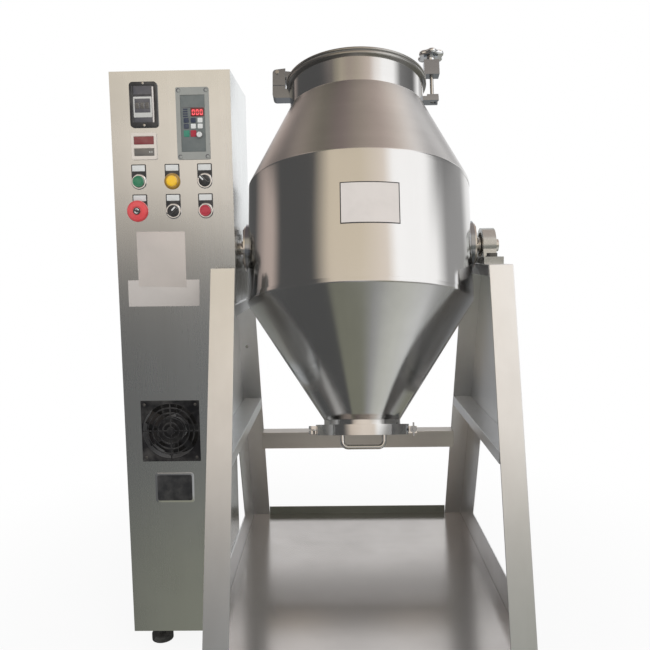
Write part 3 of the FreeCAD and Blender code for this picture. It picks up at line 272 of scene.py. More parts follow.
def sheetMetal(name, colour, shade, rough, grain="Z", across=700.0, along=9.0, lift=0.05,
               marks=0.25, spread=0.05, lowShade=1.0):
    # brushed stainless sheet: lines run along one axis of the object
    material, tree, shader, where = newMaterial(name)
    order = {"X": (1, 0, 2), "Y": (0, 1, 2), "Z": (0, 2, 1)}[grain]
    parts = tree.nodes.new("ShaderNodeSeparateXYZ")
    link(tree, where, parts.inputs[0])
    turned = tree.nodes.new("ShaderNodeCombineXYZ")
    for slot, axis in enumerate(order):
        link(tree, parts.outputs[axis], turned.inputs[slot])
    lines = useGroup(tree, grainGroup, Vector=turned.outputs[0], Across=across, Along=along)
    marksNode = useGroup(tree, handlingGroup, Vector=where, Size=5.0)
    finishMetal(tree, shader, lines, marksNode, colour, shade, rough, spread, marks, lift)
    if lowShade < 1.0:
        # painted shade darkens the sheet below hand height
        f = paintedLowShade
        level = math2(tree, "MULTIPLY_ADD", parts.outputs[0], f["lean"], parts.outputs[2])
        fade = remap(tree, math2(tree, "ADD", level, f["rise"]), f["low"], f["high"], lowShade, 1.0, True)
        painted = shader.inputs["Base Color"].links[0].from_socket
        link(tree, mixColour(tree, 1.0, painted, fade, "MULTIPLY"), shader.inputs["Base Color"])
    return material


def vesselMetal(name, colour, shade, rough, across=500.0, turns=2.0, upright=False, lift=0.04,
                marks=0.25, spread=0.04, drawn=0.0):
    # vessel skin: lines run round the vessel, or up it when upright is set; drawn stretches
    # its reflections up and down, as belts run round a vessel leave them
    material, tree, shader, where = newMaterial(name)
    local = centred(tree, where, tilt)
    parts = tree.nodes.new("ShaderNodeSeparateXYZ")
    link(tree, local, parts.inputs[0])
    angle = math2(tree, "ARCTAN2", parts.outputs[0], math2(tree, "MULTIPLY", parts.outputs[1], -1.0))
    vector = tree.nodes.new("ShaderNodeCombineXYZ")
    if upright:
        link(tree, math2(tree, "MULTIPLY", angle, 0.22), vector.inputs[0])
        link(tree, parts.outputs[2], vector.inputs[1])
    else:
        link(tree, parts.outputs[2], vector.inputs[0])
        link(tree, angle, vector.inputs[1])
    lines = useGroup(tree, grainGroup, Vector=vector.outputs[0], Across=across, Along=turns)
    marksNode = useGroup(tree, handlingGroup, Vector=local, Size=7.0)
    finishMetal(tree, shader, lines, marksNode, colour, shade, rough, spread, marks, lift)
    shader.inputs["Anisotropic"].default_value = drawn
    shader.inputs["Anisotropic Rotation"].default_value = 0.25 if drawn else 0.0
    return material


def finishMetal(tree, shader, lines, marksNode, colour, shade, rough, spread, marks, lift):
    # colour, roughness and bump of a brushed metal from its lines and handling marks
    banded = mixColour(tree, lines.outputs["Bands"], shade, colour)
    toned = mixColour(tree, math2(tree, "MULTIPLY", lines.outputs["Lines"], 0.35), banded, colour)
    dirt = tuple(c * 0.78 for c in shade)
    smudged = mixColour(tree, math2(tree, "MULTIPLY", marksNode.outputs["Smudge"], marks), toned, dirt)
    link(tree, smudged, shader.inputs["Base Color"])
    shader.inputs["Metallic"].default_value = 1.0
    base = remap(tree, lines.outputs["Lines"], toLow=rough - spread, toHigh=rough + spread)
    extra = math2(tree, "MULTIPLY", marksNode.outputs["Smudge"], 0.1 * marks)
    link(tree, math2(tree, "ADD", base, extra, clamp=True), shader.inputs["Roughness"])
    addBump(tree, shader, lines.outputs["Lines"], lift, 0.0004)


def turnedMetal(name, colour, shade, rough, grit=260.0, lift=0.06, marks=0.3, metallic=1.0):
    # small turned, cast or plated fittings: mottled tone without a direction
    material, tree, shader, where = newMaterial(name)
    skin = useGroup(tree, mouldGroup, Vector=where, Grit=grit)
    marksNode = useGroup(tree, handlingGroup, Vector=where, Size=28.0)
    toned = mixColour(tree, skin.outputs["Drift"], shade, colour)
    dirt = tuple(c * 0.45 for c in shade)
    worn = mixColour(tree, math2(tree, "MULTIPLY", marksNode.outputs["Speck"], marks), toned, dirt)
    link(tree, worn, shader.inputs["Base Color"])
    shader.inputs["Metallic"].default_value = metallic
    base = remap(tree, skin.outputs["Pebble"], toLow=rough - 0.05, toHigh=rough + 0.05)
    extra = math2(tree, "MULTIPLY", marksNode.outputs["Smudge"], 0.2 * marks)
    link(tree, math2(tree, "ADD", base, extra, clamp=True), shader.inputs["Roughness"])
    addBump(tree, shader, skin.outputs["Pebble"], lift, 0.0006)
    return material


def mouldedPlastic(name, colour, shade, rough, grit=1400.0, lift=0.12, coat=0.0, glow=0.0):
    # moulded plastic, rubber, paint or card: fine pebbling and a slow drift of tone
    material, tree, shader, where = newMaterial(name)
    skin = useGroup(tree, mouldGroup, Vector=where, Grit=grit)
    marksNode = useGroup(tree, handlingGroup, Vector=where, Size=40.0)
    toned = mixColour(tree, skin.outputs["Drift"], shade, colour)
    dusty = mixColour(tree, math2(tree, "MULTIPLY", marksNode.outputs["Smudge"], 0.12), toned, (0.42, 0.4, 0.37))
    link(tree, dusty, shader.inputs["Base Color"])
    base = remap(tree, skin.outputs["Pebble"], toLow=rough - 0.06, toHigh=rough + 0.06)
    link(tree, base, shader.inputs["Roughness"])
    shader.inputs["Coat Weight"].default_value = coat
    shader.inputs["Coat Roughness"].default_value = 0.08
    if glow:
        link(tree, toned, shader.inputs["Emission Color"])
        shader.inputs["Emission Strength"].default_value = glow
    addBump(tree, shader, skin.outputs["Pebble"], lift, 0.0002)
    return material


# each finish: colour, shade, roughness, then the rest of its maker's values in order
finishTables = (
    (sheetMetal, {
        "frameSheet": ((0.90, 0.92, 0.94), (0.83, 0.84, 0.85), 0.34, "Z", 520, 7, 0.04),
        # cabinetSheet's last value, 0.88, is the painted shade towards the floor
        "cabinetSheet": ((0.86, 0.89, 0.90), (0.80, 0.82, 0.82), 0.26, "Z", 700, 3, 0.008, 0.3, 0.02, 0.88),
        "traySheet": ((0.57, 0.545, 0.53), (0.53, 0.505, 0.49), 0.19, "X", 420, 2, 0.0015, 0.35, 0.015),
        "shadedSheet": ((0.24, 0.26, 0.24), (0.19, 0.21, 0.19), 0.40, "X", 500, 6, 0.03, 0.4),
        "barSheet": ((0.72, 0.68, 0.64), (0.64, 0.60, 0.56), 0.30, "X", 600, 6, 0.05),
    }),
    (vesselMetal, {
        "bellyMirror": ((0.71, 0.70, 0.69), (0.66, 0.65, 0.64), 0.16, 300, 5, True, 0.012, 0.12, 0.03, 0.8),
        "neckMirror": ((0.70, 0.69, 0.68), (0.64, 0.63, 0.62), 0.11, 700, 2, False, 0.02, 0.15, 0.03),
        "rimSteel": ((0.46, 0.45, 0.43), (0.40, 0.39, 0.37), 0.30, 900, 2, False, 0.02, 0.15, 0.03),
        "feedBrushed": ((0.66, 0.64, 0.63), (0.56, 0.54, 0.53), 0.30, 420, 1.6, False, 0.02, 0.3, 0.04, 0.6),
        "dischargePolish": ((0.68, 0.68, 0.67), (0.62, 0.62, 0.61), 0.16, 420, 4, True, 0.015, 0.3, 0.025, 0.3),
    }),
    (turnedMetal, {
        "brightFitting": ((0.70, 0.68, 0.65), (0.58, 0.56, 0.53), 0.20),
        "castFitting": ((0.40, 0.42, 0.45), (0.31, 0.33, 0.355), 0.17, 420, 0.06),
        "chromeKnob": ((0.92, 0.93, 0.94), (0.80, 0.81, 0.82), 0.08, 200, 0.02, 0.2),
        "bearingPaint": ((0.58, 0.59, 0.58), (0.46, 0.47, 0.46), 0.24, 500, 0.10, 0.35, 0.92),
        "gearCasting": ((0.52, 0.53, 0.54), (0.42, 0.43, 0.44), 0.45, 380, 0.25, 0.3, 0.5),
        "darkBolt": ((0.20, 0.19, 0.18), (0.10, 0.10, 0.10), 0.35, 500, 0.12, 0.3, 0.8),
    }),
    (mouldedPlastic, {
        "motorPaint": ((0.20, 0.27, 0.37), (0.16, 0.22, 0.31), 0.42, 500, 0.15),
        "whiteSeal": ((0.80, 0.79, 0.75), (0.72, 0.70, 0.66), 0.55),
        "greySeal": ((0.20, 0.20, 0.19), (0.15, 0.15, 0.145), 0.5),
        "amberSkirt": ((0.42, 0.24, 0.02), (0.34, 0.18, 0.015), 0.3, 600, 0.08, 0.5),
        "filterMat": ((0.012, 0.012, 0.014), (0.008, 0.008, 0.010), 0.85, 500, 0.4),
        "blackRubber": ((0.045, 0.045, 0.045), (0.03, 0.03, 0.03), 0.7, 900, 0.3),
        "blackPlastic": ((0.030, 0.031, 0.034), (0.022, 0.022, 0.025), 0.38),
        "fanPlastic": ((0.007, 0.007, 0.010), (0.004, 0.004, 0.007), 0.46, 900, 0.15),
        "greyPlastic": ((0.33, 0.34, 0.32), (0.29, 0.30, 0.285), 0.5),
        "slatePlastic": ((0.155, 0.175, 0.175), (0.13, 0.15, 0.15), 0.42),
        "darkGrey": ((0.10, 0.10, 0.115), (0.07, 0.07, 0.085), 0.36, 900, 0.1, 0.3),
        "paleTrim": ((0.62, 0.62, 0.60), (0.54, 0.54, 0.52), 0.4),
        "creamPlastic": ((0.74, 0.68, 0.62), (0.68, 0.62, 0.56), 0.42),
        "greenCap": ((0.012, 0.21, 0.10), (0.008, 0.16, 0.075), 0.28, 900, 0.08, 0.4),
        "redCap": ((0.52, 0.04, 0.07), (0.42, 0.03, 0.05), 0.28, 900, 0.08, 0.4),
        "mushroomRed": ((0.78, 0.07, 0.08), (0.68, 0.05, 0.06), 0.32, 900, 0.08, 0.4),
        "yellowLens": ((0.86, 0.52, 0.02), (0.78, 0.44, 0.015), 0.22, 600, 0.08, 0.6, 0.12),
        "redWindow": ((0.20, 0.035, 0.04), (0.12, 0.02, 0.025), 0.16, 500, 0.05, 0.5, 0.25),
        "smokeWindow": ((0.17, 0.16, 0.15), (0.09, 0.085, 0.08), 0.16, 300, 0.05, 0.5),
        "litSegment": ((1.0, 0.10, 0.12), (0.9, 0.08, 0.10), 0.4, 900, 0.02, 0, 1.3),
        "displayRed": ((0.16, 0.008, 0.012), (0.10, 0.006, 0.008), 0.18, 600, 0.03, 0.4),
        "keyWhite": ((0.74, 0.75, 0.74), (0.68, 0.69, 0.68), 0.45),
        "keyBlue": ((0.035, 0.05, 0.09), (0.025, 0.035, 0.07), 0.4),
        "keyGreen": ((0.03, 0.25, 0.17), (0.02, 0.2, 0.13), 0.4),
        "keyRed": ((0.42, 0.02, 0.045), (0.34, 0.015, 0.035), 0.4),
        "paperLabel": ((0.60, 0.56, 0.53), (0.54, 0.50, 0.47), 0.5, 300, 0.04),
        "paleLabel": ((0.62, 0.56, 0.52), (0.55, 0.50, 0.46), 0.45, 300, 0.03),
        "whiteLabel": ((0.72, 0.68, 0.65), (0.68, 0.63, 0.60), 0.42, 300, 0.03),
    }),
)
finishes = {name: maker(name, *values) for maker, table in finishTables for name, values in table.items()}
print("finishes ready:", len(finishes))

bareFinish = {
    "frameSheet": ("right_side_frame", "left_side_frame", "top_plates", "frame_shelves",
                   "left_bearing_pedestal", "torque_arm"),
    "cabinetSheet": ("cabinet_shell", "cabinet_back_cover"),
    "traySheet": ("base_tray",),
    "barSheet": ("rear_crossbar",),
    "neckMirror": ("discharge_ferrule", "clamp_ring_rear", "clamp_ring_front", "discharge_cap",
                   "feed_flange", "lid_cover", "belly_shell", "feed_cone", "discharge_cone"),
    "brightFitting": ("right_trunnion_shaft", "left_trunnion_shaft", "bearing_inner_rings", "bearing_balls",
                      "bearing_outer_rings", "clamp_screw", "star_knob", "hinge_pin",
                      "clamp_ring_pin", "button_collars", "gearbox_output_sleeve"),
    "castFitting": ("hub_pads", "wing_bolt", "hinge_bracket", "lid_hinge_arm", "clamp_lug", "lid_clamp_block"),
    "darkBolt": ("hub_bolts", "bearing_bolts"),
    "bearingPaint": ("bearing_housings",),
    "gearCasting": ("gearbox_housing",),
    "motorPaint": ("drive_motor",),
    "greySeal": ("lid_gasket", "discharge_gasket"),
    "blackRubber": ("levelling_feet",),
    "blackPlastic": ("timer_case", "contact_blocks", "legend_plates", "cable_gland", "speed_knob",
                     "upper_selector", "lower_selector"),
    "fanPlastic": ("fan_frame", "fan_guard", "fan_rotor"),
    "greyPlastic": ("inverter_keypad",),
    "creamPlastic": ("meter_case",),
    "greenCap": ("green_button",),
    "redCap": ("red_button",),
    "mushroomRed": ("emergency_stop_head",),
    "yellowLens": ("yellow_pilot_lamp",),
}
for finish, names in bareFinish.items():
    for name in names:
        cadNodes[name].material_slots[0].material = finishes[finish]


# ---- mesh helpers
def sheetOfQuads(rows, columns, closeRows=False, closeColumns=False):
    # faces of a rows x columns grid of points, wrapped round where asked
    i = np.arange(rows if closeRows else rows - 1)[:, None]
    j = np.arange(columns if closeColumns else columns - 1)[None, :]
    a = i * columns + j
    b = i * columns + (j + 1) % columns
    c = ((i + 1) % rows) * columns + (j + 1) % columns
    d = ((i + 1) % rows) * columns + j
    return np.stack([a, b, c, d], axis=-1).reshape(-1, 4).tolist()


def addPiece(name, shape, finish, body="frame", replaced=(), sharp=40.0, lift=onFloor):
    # one mesh piece from points in the drawing's frame: doubles merged, normals out, smooth but
    # for its sharp edges
    mesh = bpy.data.meshes.new(name)
    mesh.from_pydata(lift(shape[0]).tolist(), [], shape[1])
    work = bmesh.new()
    work.from_mesh(mesh)
    bmesh.ops.remove_doubles(work, verts=work.verts, dist=2e-6)
    bmesh.ops.recalc_face_normals(work, faces=work.faces)
    work.to_mesh(mesh)
    work.free()
    mesh.shade_smooth()
    mesh.set_sharp_from_angle(angle=math.radians(sharp))
    mesh.materials.append(finishes[finish])
    piece = bpy.data.objects.new(name, mesh)
    bpy.context.scene.collection.objects.link(piece)
    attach(piece, body)
    if replaced:
        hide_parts(*replaced)
    return piece


def joined(*parts):
    # several (points, faces) shapes as one
    points, faces, start = [], [], 0
    for shapePoints, shapeFaces in parts:
        shapePoints = np.asarray(shapePoints, float).reshape(-1, 3)
        points.append(shapePoints)
        faces.extend([[index + start for index in face] for face in shapeFaces])
        start += len(shapePoints)
    return np.concatenate(points), faces


def rounded(corners, radii, steps=6):
    # closed outline whose corners are arcs of the given radii, as (u, v) rows
    corners = np.asarray(corners, float)
    out = []
    for before, corner, after, radius in zip(np.roll(corners, 1, 0), corners, np.roll(corners, -1, 0), radii):
        if radius <= 0:
            out.append(corner[None])
            continue
        a = (before - corner) / np.linalg.norm(before - corner)
        b = (after - corner) / np.linalg.norm(after - corner)
        half = math.acos(float(np.clip(a @ b, -1, 1))) / 2
        most = 0.49 * min(np.linalg.norm(before - corner), np.linalg.norm(after - corner))
        reach = min(radius / math.tan(half), most)
        radius = reach * math.tan(half)
        centre = corner + (a + b) / np.linalg.norm(a + b) * math.hypot(radius, reach)
        start, end = corner + a * reach - centre, corner + b * reach - centre
        sweep = math.atan2(start[0] * end[1] - start[1] * end[0], start @ end)
        turn = np.linspace(0, sweep, steps)
        out.append(centre + np.stack([start[0] * np.cos(turn) - start[1] * np.sin(turn),
                                      start[0] * np.sin(turn) + start[1] * np.cos(turn)], axis=1))
    return np.concatenate(out)


def turned(outline, segments=192, ripple=None):
    # closed (radius, height) outline carried round Z: x = r sin a, y = -r cos a
    outline = np.asarray(outline, float)
    a = np.linspace(0, 2 * math.pi, segments, endpoint=False)
    r = np.maximum(outline[:, :1], 0) + 0 * a
    h = outline[:, 1:] + 0 * a
    if ripple is not None:
        r = r + ripple(a[None, :], h) * (r > 1)
    points = np.stack([r * np.sin(a), -r * np.cos(a), h], axis=-1)
    return points.reshape(-1, 3), sheetOfQuads(len(outline), segments, True, True)


def facing(shape, x, y, z):
    # a turned shape laid with its axis towards the operator, at x, z on the panel
    points, faces = shape
    return np.stack([points[:, 0] + x, y - points[:, 2], points[:, 1] + z], axis=1), faces


def swept(path, radius, sides=20):
    # round wire along points in one upright plane: the section turns with the path's tangent
    path = np.asarray(path, float)
    tangent = np.gradient(path, axis=0)
    tangent /= np.linalg.norm(tangent, axis=1)[:, None]
    normal = np.cross(tangent[0], tangent[len(path) // 2])
    normal /= np.linalg.norm(normal)
    across = np.cross(tangent, normal)
    a = np.linspace(0, 2 * math.pi, sides, endpoint=False)
    section = np.cos(a)[None, :, None] * across[:, None, :] + np.sin(a)[None, :, None] * normal
    ring = path[:, None, :] + radius * section
    faces = sheetOfQuads(len(path), sides, False, True)
    ends = [list(range(sides))[::-1], [(len(path) - 1) * sides + k for k in range(sides)]]
    return ring.reshape(-1, 3), faces + ends


def slabOf(outline, near, far, edge=0.8, steps=3):
    # rounded plate facing the operator: the (x, z) outline shrinks by a quarter circle in front
    outline = np.asarray(outline, float)
    centre = (outline.max(0) + outline.min(0)) / 2
    half = (outline.max(0) - outline.min(0)) / 2
    turn = np.linspace(0, math.pi / 2, steps)
    inset = np.append(edge * (1 - np.sin(turn)), 0)
    depth = np.append(near + edge * (1 - np.cos(turn)), far)
    shrink = 1 - inset[:, None] / half[None, :]
    flat = centre + (outline - centre)[None] * shrink[:, None, :]
    points = np.stack([flat[..., 0], np.repeat(depth[:, None], len(outline), 1), flat[..., 1]], axis=-1)
    count = len(outline)
    faces = sheetOfQuads(len(inset), count, False, True)
    faces += [list(range(count)), [(len(inset) - 1) * count + k for k in range(count)][::-1]]
    return points.reshape(-1, 3), faces


def trayOf(outer, inner, near, floor, far, edge=0.8):
    # rimmed case facing the operator: outer wall, rounded rim, then down inside to its floor
    outer, inner = np.asarray(outer, float), np.asarray(inner, float)
    centre = (outer.max(0) + outer.min(0)) / 2
    half = (outer.max(0) - outer.min(0)) / 2
    rows = [(outer, far)]
    for k in np.linspace(0, math.pi / 2, 4):
        shrink = 1 - edge * (1 - math.cos(k)) / half
        rows.append((centre + (outer - centre) * shrink, near + edge * (1 - math.sin(k))))
    rows += [(centre + (inner - centre) * (1 + 0.4 / half), near), (inner, near + 0.4), (inner, floor)]
    points = np.concatenate([np.column_stack([flat[:, 0], np.full(len(flat), y), flat[:, 1]]) for flat, y in rows])
    count = len(outer)
    faces = sheetOfQuads(len(rows), count, False, True)
    return points, faces + [list(range(count))[::-1], [(len(rows) - 1) * count + k for k in range(count)]]


def box2(x0, z0, x1, z1, corner=1.0, steps=5):
    return rounded([(x0, z0), (x1, z0), (x1, z1), (x0, z1)], [corner] * 4, steps)


def softened(name, node, finish, width=0.9, sharp=40.0, segments=2):
    # a copy of a CAD piece whose edges are rounded, as folded or cast edges are
    source = cadNodes[node]
    mesh = bpy.data.meshes.new(name)
    work = bmesh.new()
    work.from_mesh(source.data)
    bmesh.ops.remove_doubles(work, verts=work.verts, dist=2e-5)
    bmesh.ops.dissolve_limit(work, angle_limit=math.radians(1.0), verts=work.verts, edges=work.edges)
    work.to_mesh(mesh)
    work.free()
    mesh.shade_smooth()
    mesh.materials.append(finishes[finish])
    piece = bpy.data.objects.new(name, mesh)
    bpy.context.scene.collection.objects.link(piece)
    bevel = piece.modifiers.new("roundEdge", "BEVEL")
    bevel.width = width / 1000
    bevel.segments = segments
    bevel.limit_method = "ANGLE"
    bevel.angle_limit = math.radians(sharp)
    flats = piece.modifiers.new("flatFaces", "WEIGHTED_NORMAL")
    flats.keep_sharp = True
    flats.weight = 100
    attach(piece, source["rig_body"])
    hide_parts(node)
    return piece


# ---- vessel: belly, cones, neck, lid and outlet, turned about the leaned axis
vesselSizes = {"belly": 225.0, "bellyEnd": 111.0, "knuckle": 119.0, "wall": 3.0, "mouth": 140.0,
               "mouthLevel": 291.0, "flangeLevel": 342.0, "spout": 74.5, "spoutLevel": 349.0,
               "ferruleLevel": 362.0}


def vesselPiece(name, shape, finish, replaced, sharp=40.0, body="vessel"):
    return addPiece(name, shape, finish, body, replaced, sharp, onVessel)


def makeVessel():
    v = vesselSizes
    wall = v["wall"]
    heights = np.linspace(-v["bellyEnd"], v["bellyEnd"], 25)
    outer = np.stack([np.full(25, v["belly"]), heights], axis=1)
    inner = np.stack([np.full(2, v["belly"] - wall), [v["bellyEnd"], -v["bellyEnd"]]], axis=1)

    def handRolled(a, h):
        # the rolled belly is out of round by a few tenths
        return 0.22 * np.sin(3 * a + 0.6) + 0.12 * np.sin(7 * a + h / 60)

    belly = turned(np.concatenate([outer, inner]), 256, handRolled)
    vesselPiece("bellySkin", belly, "bellyMirror", ("belly_shell",), 30)

    def coneOutline(side, radius, level, end):
        drop = wall * 0.45
        corners = [(v["belly"] - wall, v["bellyEnd"]), (v["belly"], v["bellyEnd"]), (v["belly"], v["knuckle"]),
                   (radius, level), (radius, end), (radius - wall, end), (radius - wall, level - drop),
                   (v["belly"] - wall, v["knuckle"] - drop)]
        shape = rounded(corners, [0, 0, 7, 2.5, 0, 0, 0, 4], 7)
        # extra rows along the cone's slope carry its ripples
        steep = np.argmax(np.linalg.norm(np.diff(shape, axis=0), axis=1))
        extra = shape[steep] + (shape[steep + 1] - shape[steep]) * np.linspace(0, 1, 24)[1:-1, None]
        shape = np.concatenate([shape[:steep + 1], extra, shape[steep + 1:]])
        return shape * [1, side]

    def spunCone(a, h):
        return 0.10 * np.sin(5 * a + 1.0) + 0.05 * np.sin(11 * a + h / 40)

    def handPolished(a, h):
        # the discharge cone was planished by hand, which bends its reflections
        return (0.45 * np.sin(4 * a + 0.4) + 0.34 * np.sin(9 * a + h / 38) + 0.16 * np.sin(17 * a - h / 19)
                + 0.16 * np.sin(h / 12 + 2 * a) + 0.10 * np.sin(7 * a) * np.sin(h / 17))

    cone = turned(coneOutline(1, v["mouth"], v["mouthLevel"], v["flangeLevel"]), 256, spunCone)
    feed = vesselPiece("feedConeSkin", cone, "feedBrushed", ("feed_cone",), 24)
    cone = turned(coneOutline(-1, v["spout"], v["spoutLevel"], v["ferruleLevel"]), 256, handPolished)
    low = vesselPiece("dischargeConeSkin", cone, "dischargePolish", ("discharge_cone",), 24)
    for piece, level, side in ((feed, v["mouthLevel"], 1), (low, v["spoutLevel"], -1)):
        # the straight neck and the skirt keep the mirror finish of the belly
        piece.data.materials.append(finishes["neckMirror"])
        piece.data.materials.append(finishes["bellyMirror"])
        centres = np.array([face.center for face in piece.data.polygons]) - datum
        height = (centres[:, 1] * math.sin(tilt) + centres[:, 2] * math.cos(tilt)) * 1000 * side
        slots = np.where(height > level - 0.5, 1, np.where(height < v["knuckle"] + 1.0, 2, 0))
        piece.data.polygons.foreach_set("material_index", slots.astype(np.int32))

    flange = rounded([(137, 342), (147, 342), (147, 348), (137, 348)], [0.5, 2.2, 1.4, 0.5], 6)
    vesselPiece("neckFlange", turned(flange, 192), "rimSteel", ("feed_flange",))
    lid = rounded([(0, 366), (84, 364), (126, 350), (147, 350), (147, 356), (127, 356), (84, 368), (0, 370)],
                  [0, 20, 8, 2.6, 2.6, 8, 20, 0], 8)
    vesselPiece("lidDish", turned(lid, 192), "rimSteel", ("lid_cover",), 30, "lid")


makeVessel()
print("vessel ready")

outletGrip = {"halfWidth": 39.5, "y": -46.2, "top": -374.0, "low": -400.5, "wire": 4.5, "bend": 11.0}


def makeOutlet():
    g = outletGrip
    disc = rounded([(0, -375), (84, -375), (84, -369), (0, -369)], [0, 2.0, 2.0, 0], 6)
    half = g["halfWidth"]
    line = [(-half, g["top"]), (-half, g["low"]), (half, g["low"]), (half, g["top"])]
    path = rounded(line, [0, g["bend"], g["bend"], 0], 10)
    path = np.stack([path[:, 0], np.full(len(path), g["y"]), path[:, 1]], axis=1)
    capAndGrip = joined(turned(disc, 128), swept(path, g["wire"]))
    vesselPiece("outletCapAndGrip", capAndGrip, "neckMirror", ("discharge_cap",))
    softened("clampRingRearHalf", "clamp_ring_rear", "neckMirror", 1.2)
    softened("clampRingFrontHalf", "clamp_ring_front", "neckMirror", 1.2)


makeOutlet()

starKnob = {"reach": 160.0, "radius": 28.5, "lobes": 6, "hub": 9.0}


def makeStarKnob():
    # six-lobed domed hand knob: towards the rim the radius is R share (0.925 + 0.075 w), with
    # w = cos 6a raised to 0.8 and its sign kept
    k = starKnob
    a = np.linspace(0, 2 * math.pi, 168, endpoint=False)
    wave = np.cos(k["lobes"] * a)
    lobes = 0.925 + 0.075 * np.sign(wave) * np.abs(wave) ** 0.8
    rows = np.array([(0.0, 411.0), (0.5, 411.0), (0.88, 411.3), (0.96, 412.4), (1.0, 414.6), (1.0, 417.0),
                     (0.965, 419.4), (0.88, 421.4), (0.74, 423.0), (0.58, 424.2), (0.40, 424.9), (0.30, 424.4),
                     (0.27, 425.3), (0.2, 425.6), (0.0, 425.6)])
    share = rows[:, :1]
    blend = np.clip((share - 0.35) / 0.5, 0, 1)
    radius = k["radius"] * share * (blend * lobes + (1 - blend) * 0.925)
    dent = 0.9 * np.clip(blend * (1 - blend) * 4, 0, 1) * (wave < 0) * -wave * (rows[:, 1:] > 419)
    points = np.stack([radius * np.sin(a) + k["reach"], -radius * np.cos(a), rows[:, 1:] - dent], axis=-1)
    grip = (points.reshape(-1, 3), sheetOfQuads(len(rows), len(a), False, True))
    hub = turned(rounded([(0, 403.6), (k["hub"], 403.6), (k["hub"], 412), (0, 412)], [0, 1, 0, 0], 5), 48)
    whole = joined(grip, (hub[0] + [k["reach"], 0, 0], hub[1]))
    vesselPiece("starKnobTurned", whole, "chromeKnob", ("star_knob",), 40, "star_knob")


makeStarKnob()
for label, node, finish, width in (
        ("lidClampBlockCast", "lid_clamp_block", "castFitting", 1.6),
        ("clampLugCast", "clamp_lug", "castFitting", 1.6),
        ("hingeBracketCast", "hinge_bracket", "castFitting", 1.6),
        ("hingeArmCast", "lid_hinge_arm", "castFitting", 1.4),
        ("bearingCastings", "bearing_housings", "bearingPaint", 1.4)):
    softened(label, node, finish, width)
print("fittings ready")

# ---- frame, tray and cabinet: folded sheet with rounded folds
for label, node, finish, width in (
        ("rightFrameFolded", "right_side_frame", "frameSheet", 1.0),
        ("leftFrameFolded", "left_side_frame", "frameSheet", 1.0),
        ("bearingPlatesFolded", "top_plates", "frameSheet", 0.8),
        ("shelvesFolded", "frame_shelves", "frameSheet", 0.8),
        ("crossbarTube", "rear_crossbar", "barSheet", 2.0),
        ("trayFolded", "base_tray", "traySheet", 1.0),
        ("cabinetFolded", "cabinet_shell", "cabinetSheet", 0.9),
        ("backCoverFolded", "cabinet_back_cover", "cabinetSheet", 0.5)):
    softened(label, node, finish, width)
# the inside of the tray's rear upstand gets a darker sheet than its floor, as painted shade
tray = bpy.data.objects["trayFolded"]
tray.data.materials.append(finishes["shadedSheet"])
behind = max(corner[1] for corner in tray.bound_box)
for face in tray.data.polygons:
    if face.center[1] > behind - 0.004 and face.normal[1] < -0.5:
        face.material_index = 1

coverScrews = {"inset": 0.010, "radius": 3.4, "proud": 1.8}


def addCoverScrews():
    # pan-head screws at the corners and half height of the cabinet's back cover
    s = coverScrews
    corners = np.array([tuple(c) for c in cadNodes["cabinet_back_cover"].bound_box])
    low, high = corners.min(0), corners.max(0)
    head = rounded([(0, 0), (s["radius"], 0), (s["radius"], s["proud"] * 0.7), (0, s["proud"])], [0, 0, 0.8, 0], 5)
    points, faces = turned(head, 24)
    shapes = []
    for x in (low[0] + s["inset"], high[0] - s["inset"]):
        for z in (low[2] + s["inset"], (low[2] + high[2]) / 2, high[2] - s["inset"]):
            shapes.append((points[:, [0, 2, 1]] / 1000 + [x, high[1], z], faces))
    # the cover's corners are already in metres on the floor
    addPiece("backCoverScrews", joined(*shapes), "brightFitting", lift=np.asarray)


addCoverScrews()
print("frame ready")

# ---- panel devices, drawn in X and Z about the trunnion centre with their depth along Y
panelY = -95.0


def plate(x0, z0, x1, z1, corner, near, far, edge, cornerSteps=5, edgeSteps=3):
    # rectangular plate with rounded corners, facing the operator
    return slabOf(box2(x0, z0, x1, z1, corner, cornerSteps), near, far, edge, edgeSteps)


def heads(spots, y, outline, radii, steps, sides):
    # the same turned form at each (x, z) spot
    shape = turned(rounded(outline, radii, steps), sides)
    return joined(*[facing(shape, x, y, z) for x, z in spots])


def panHeads(spots, y, radius, skirt, crown, bend):
    return heads(spots, y, [(0, 0), (radius, 0), (radius, skirt), (0, crown)], [0, 0, bend, 0], 4, 24)


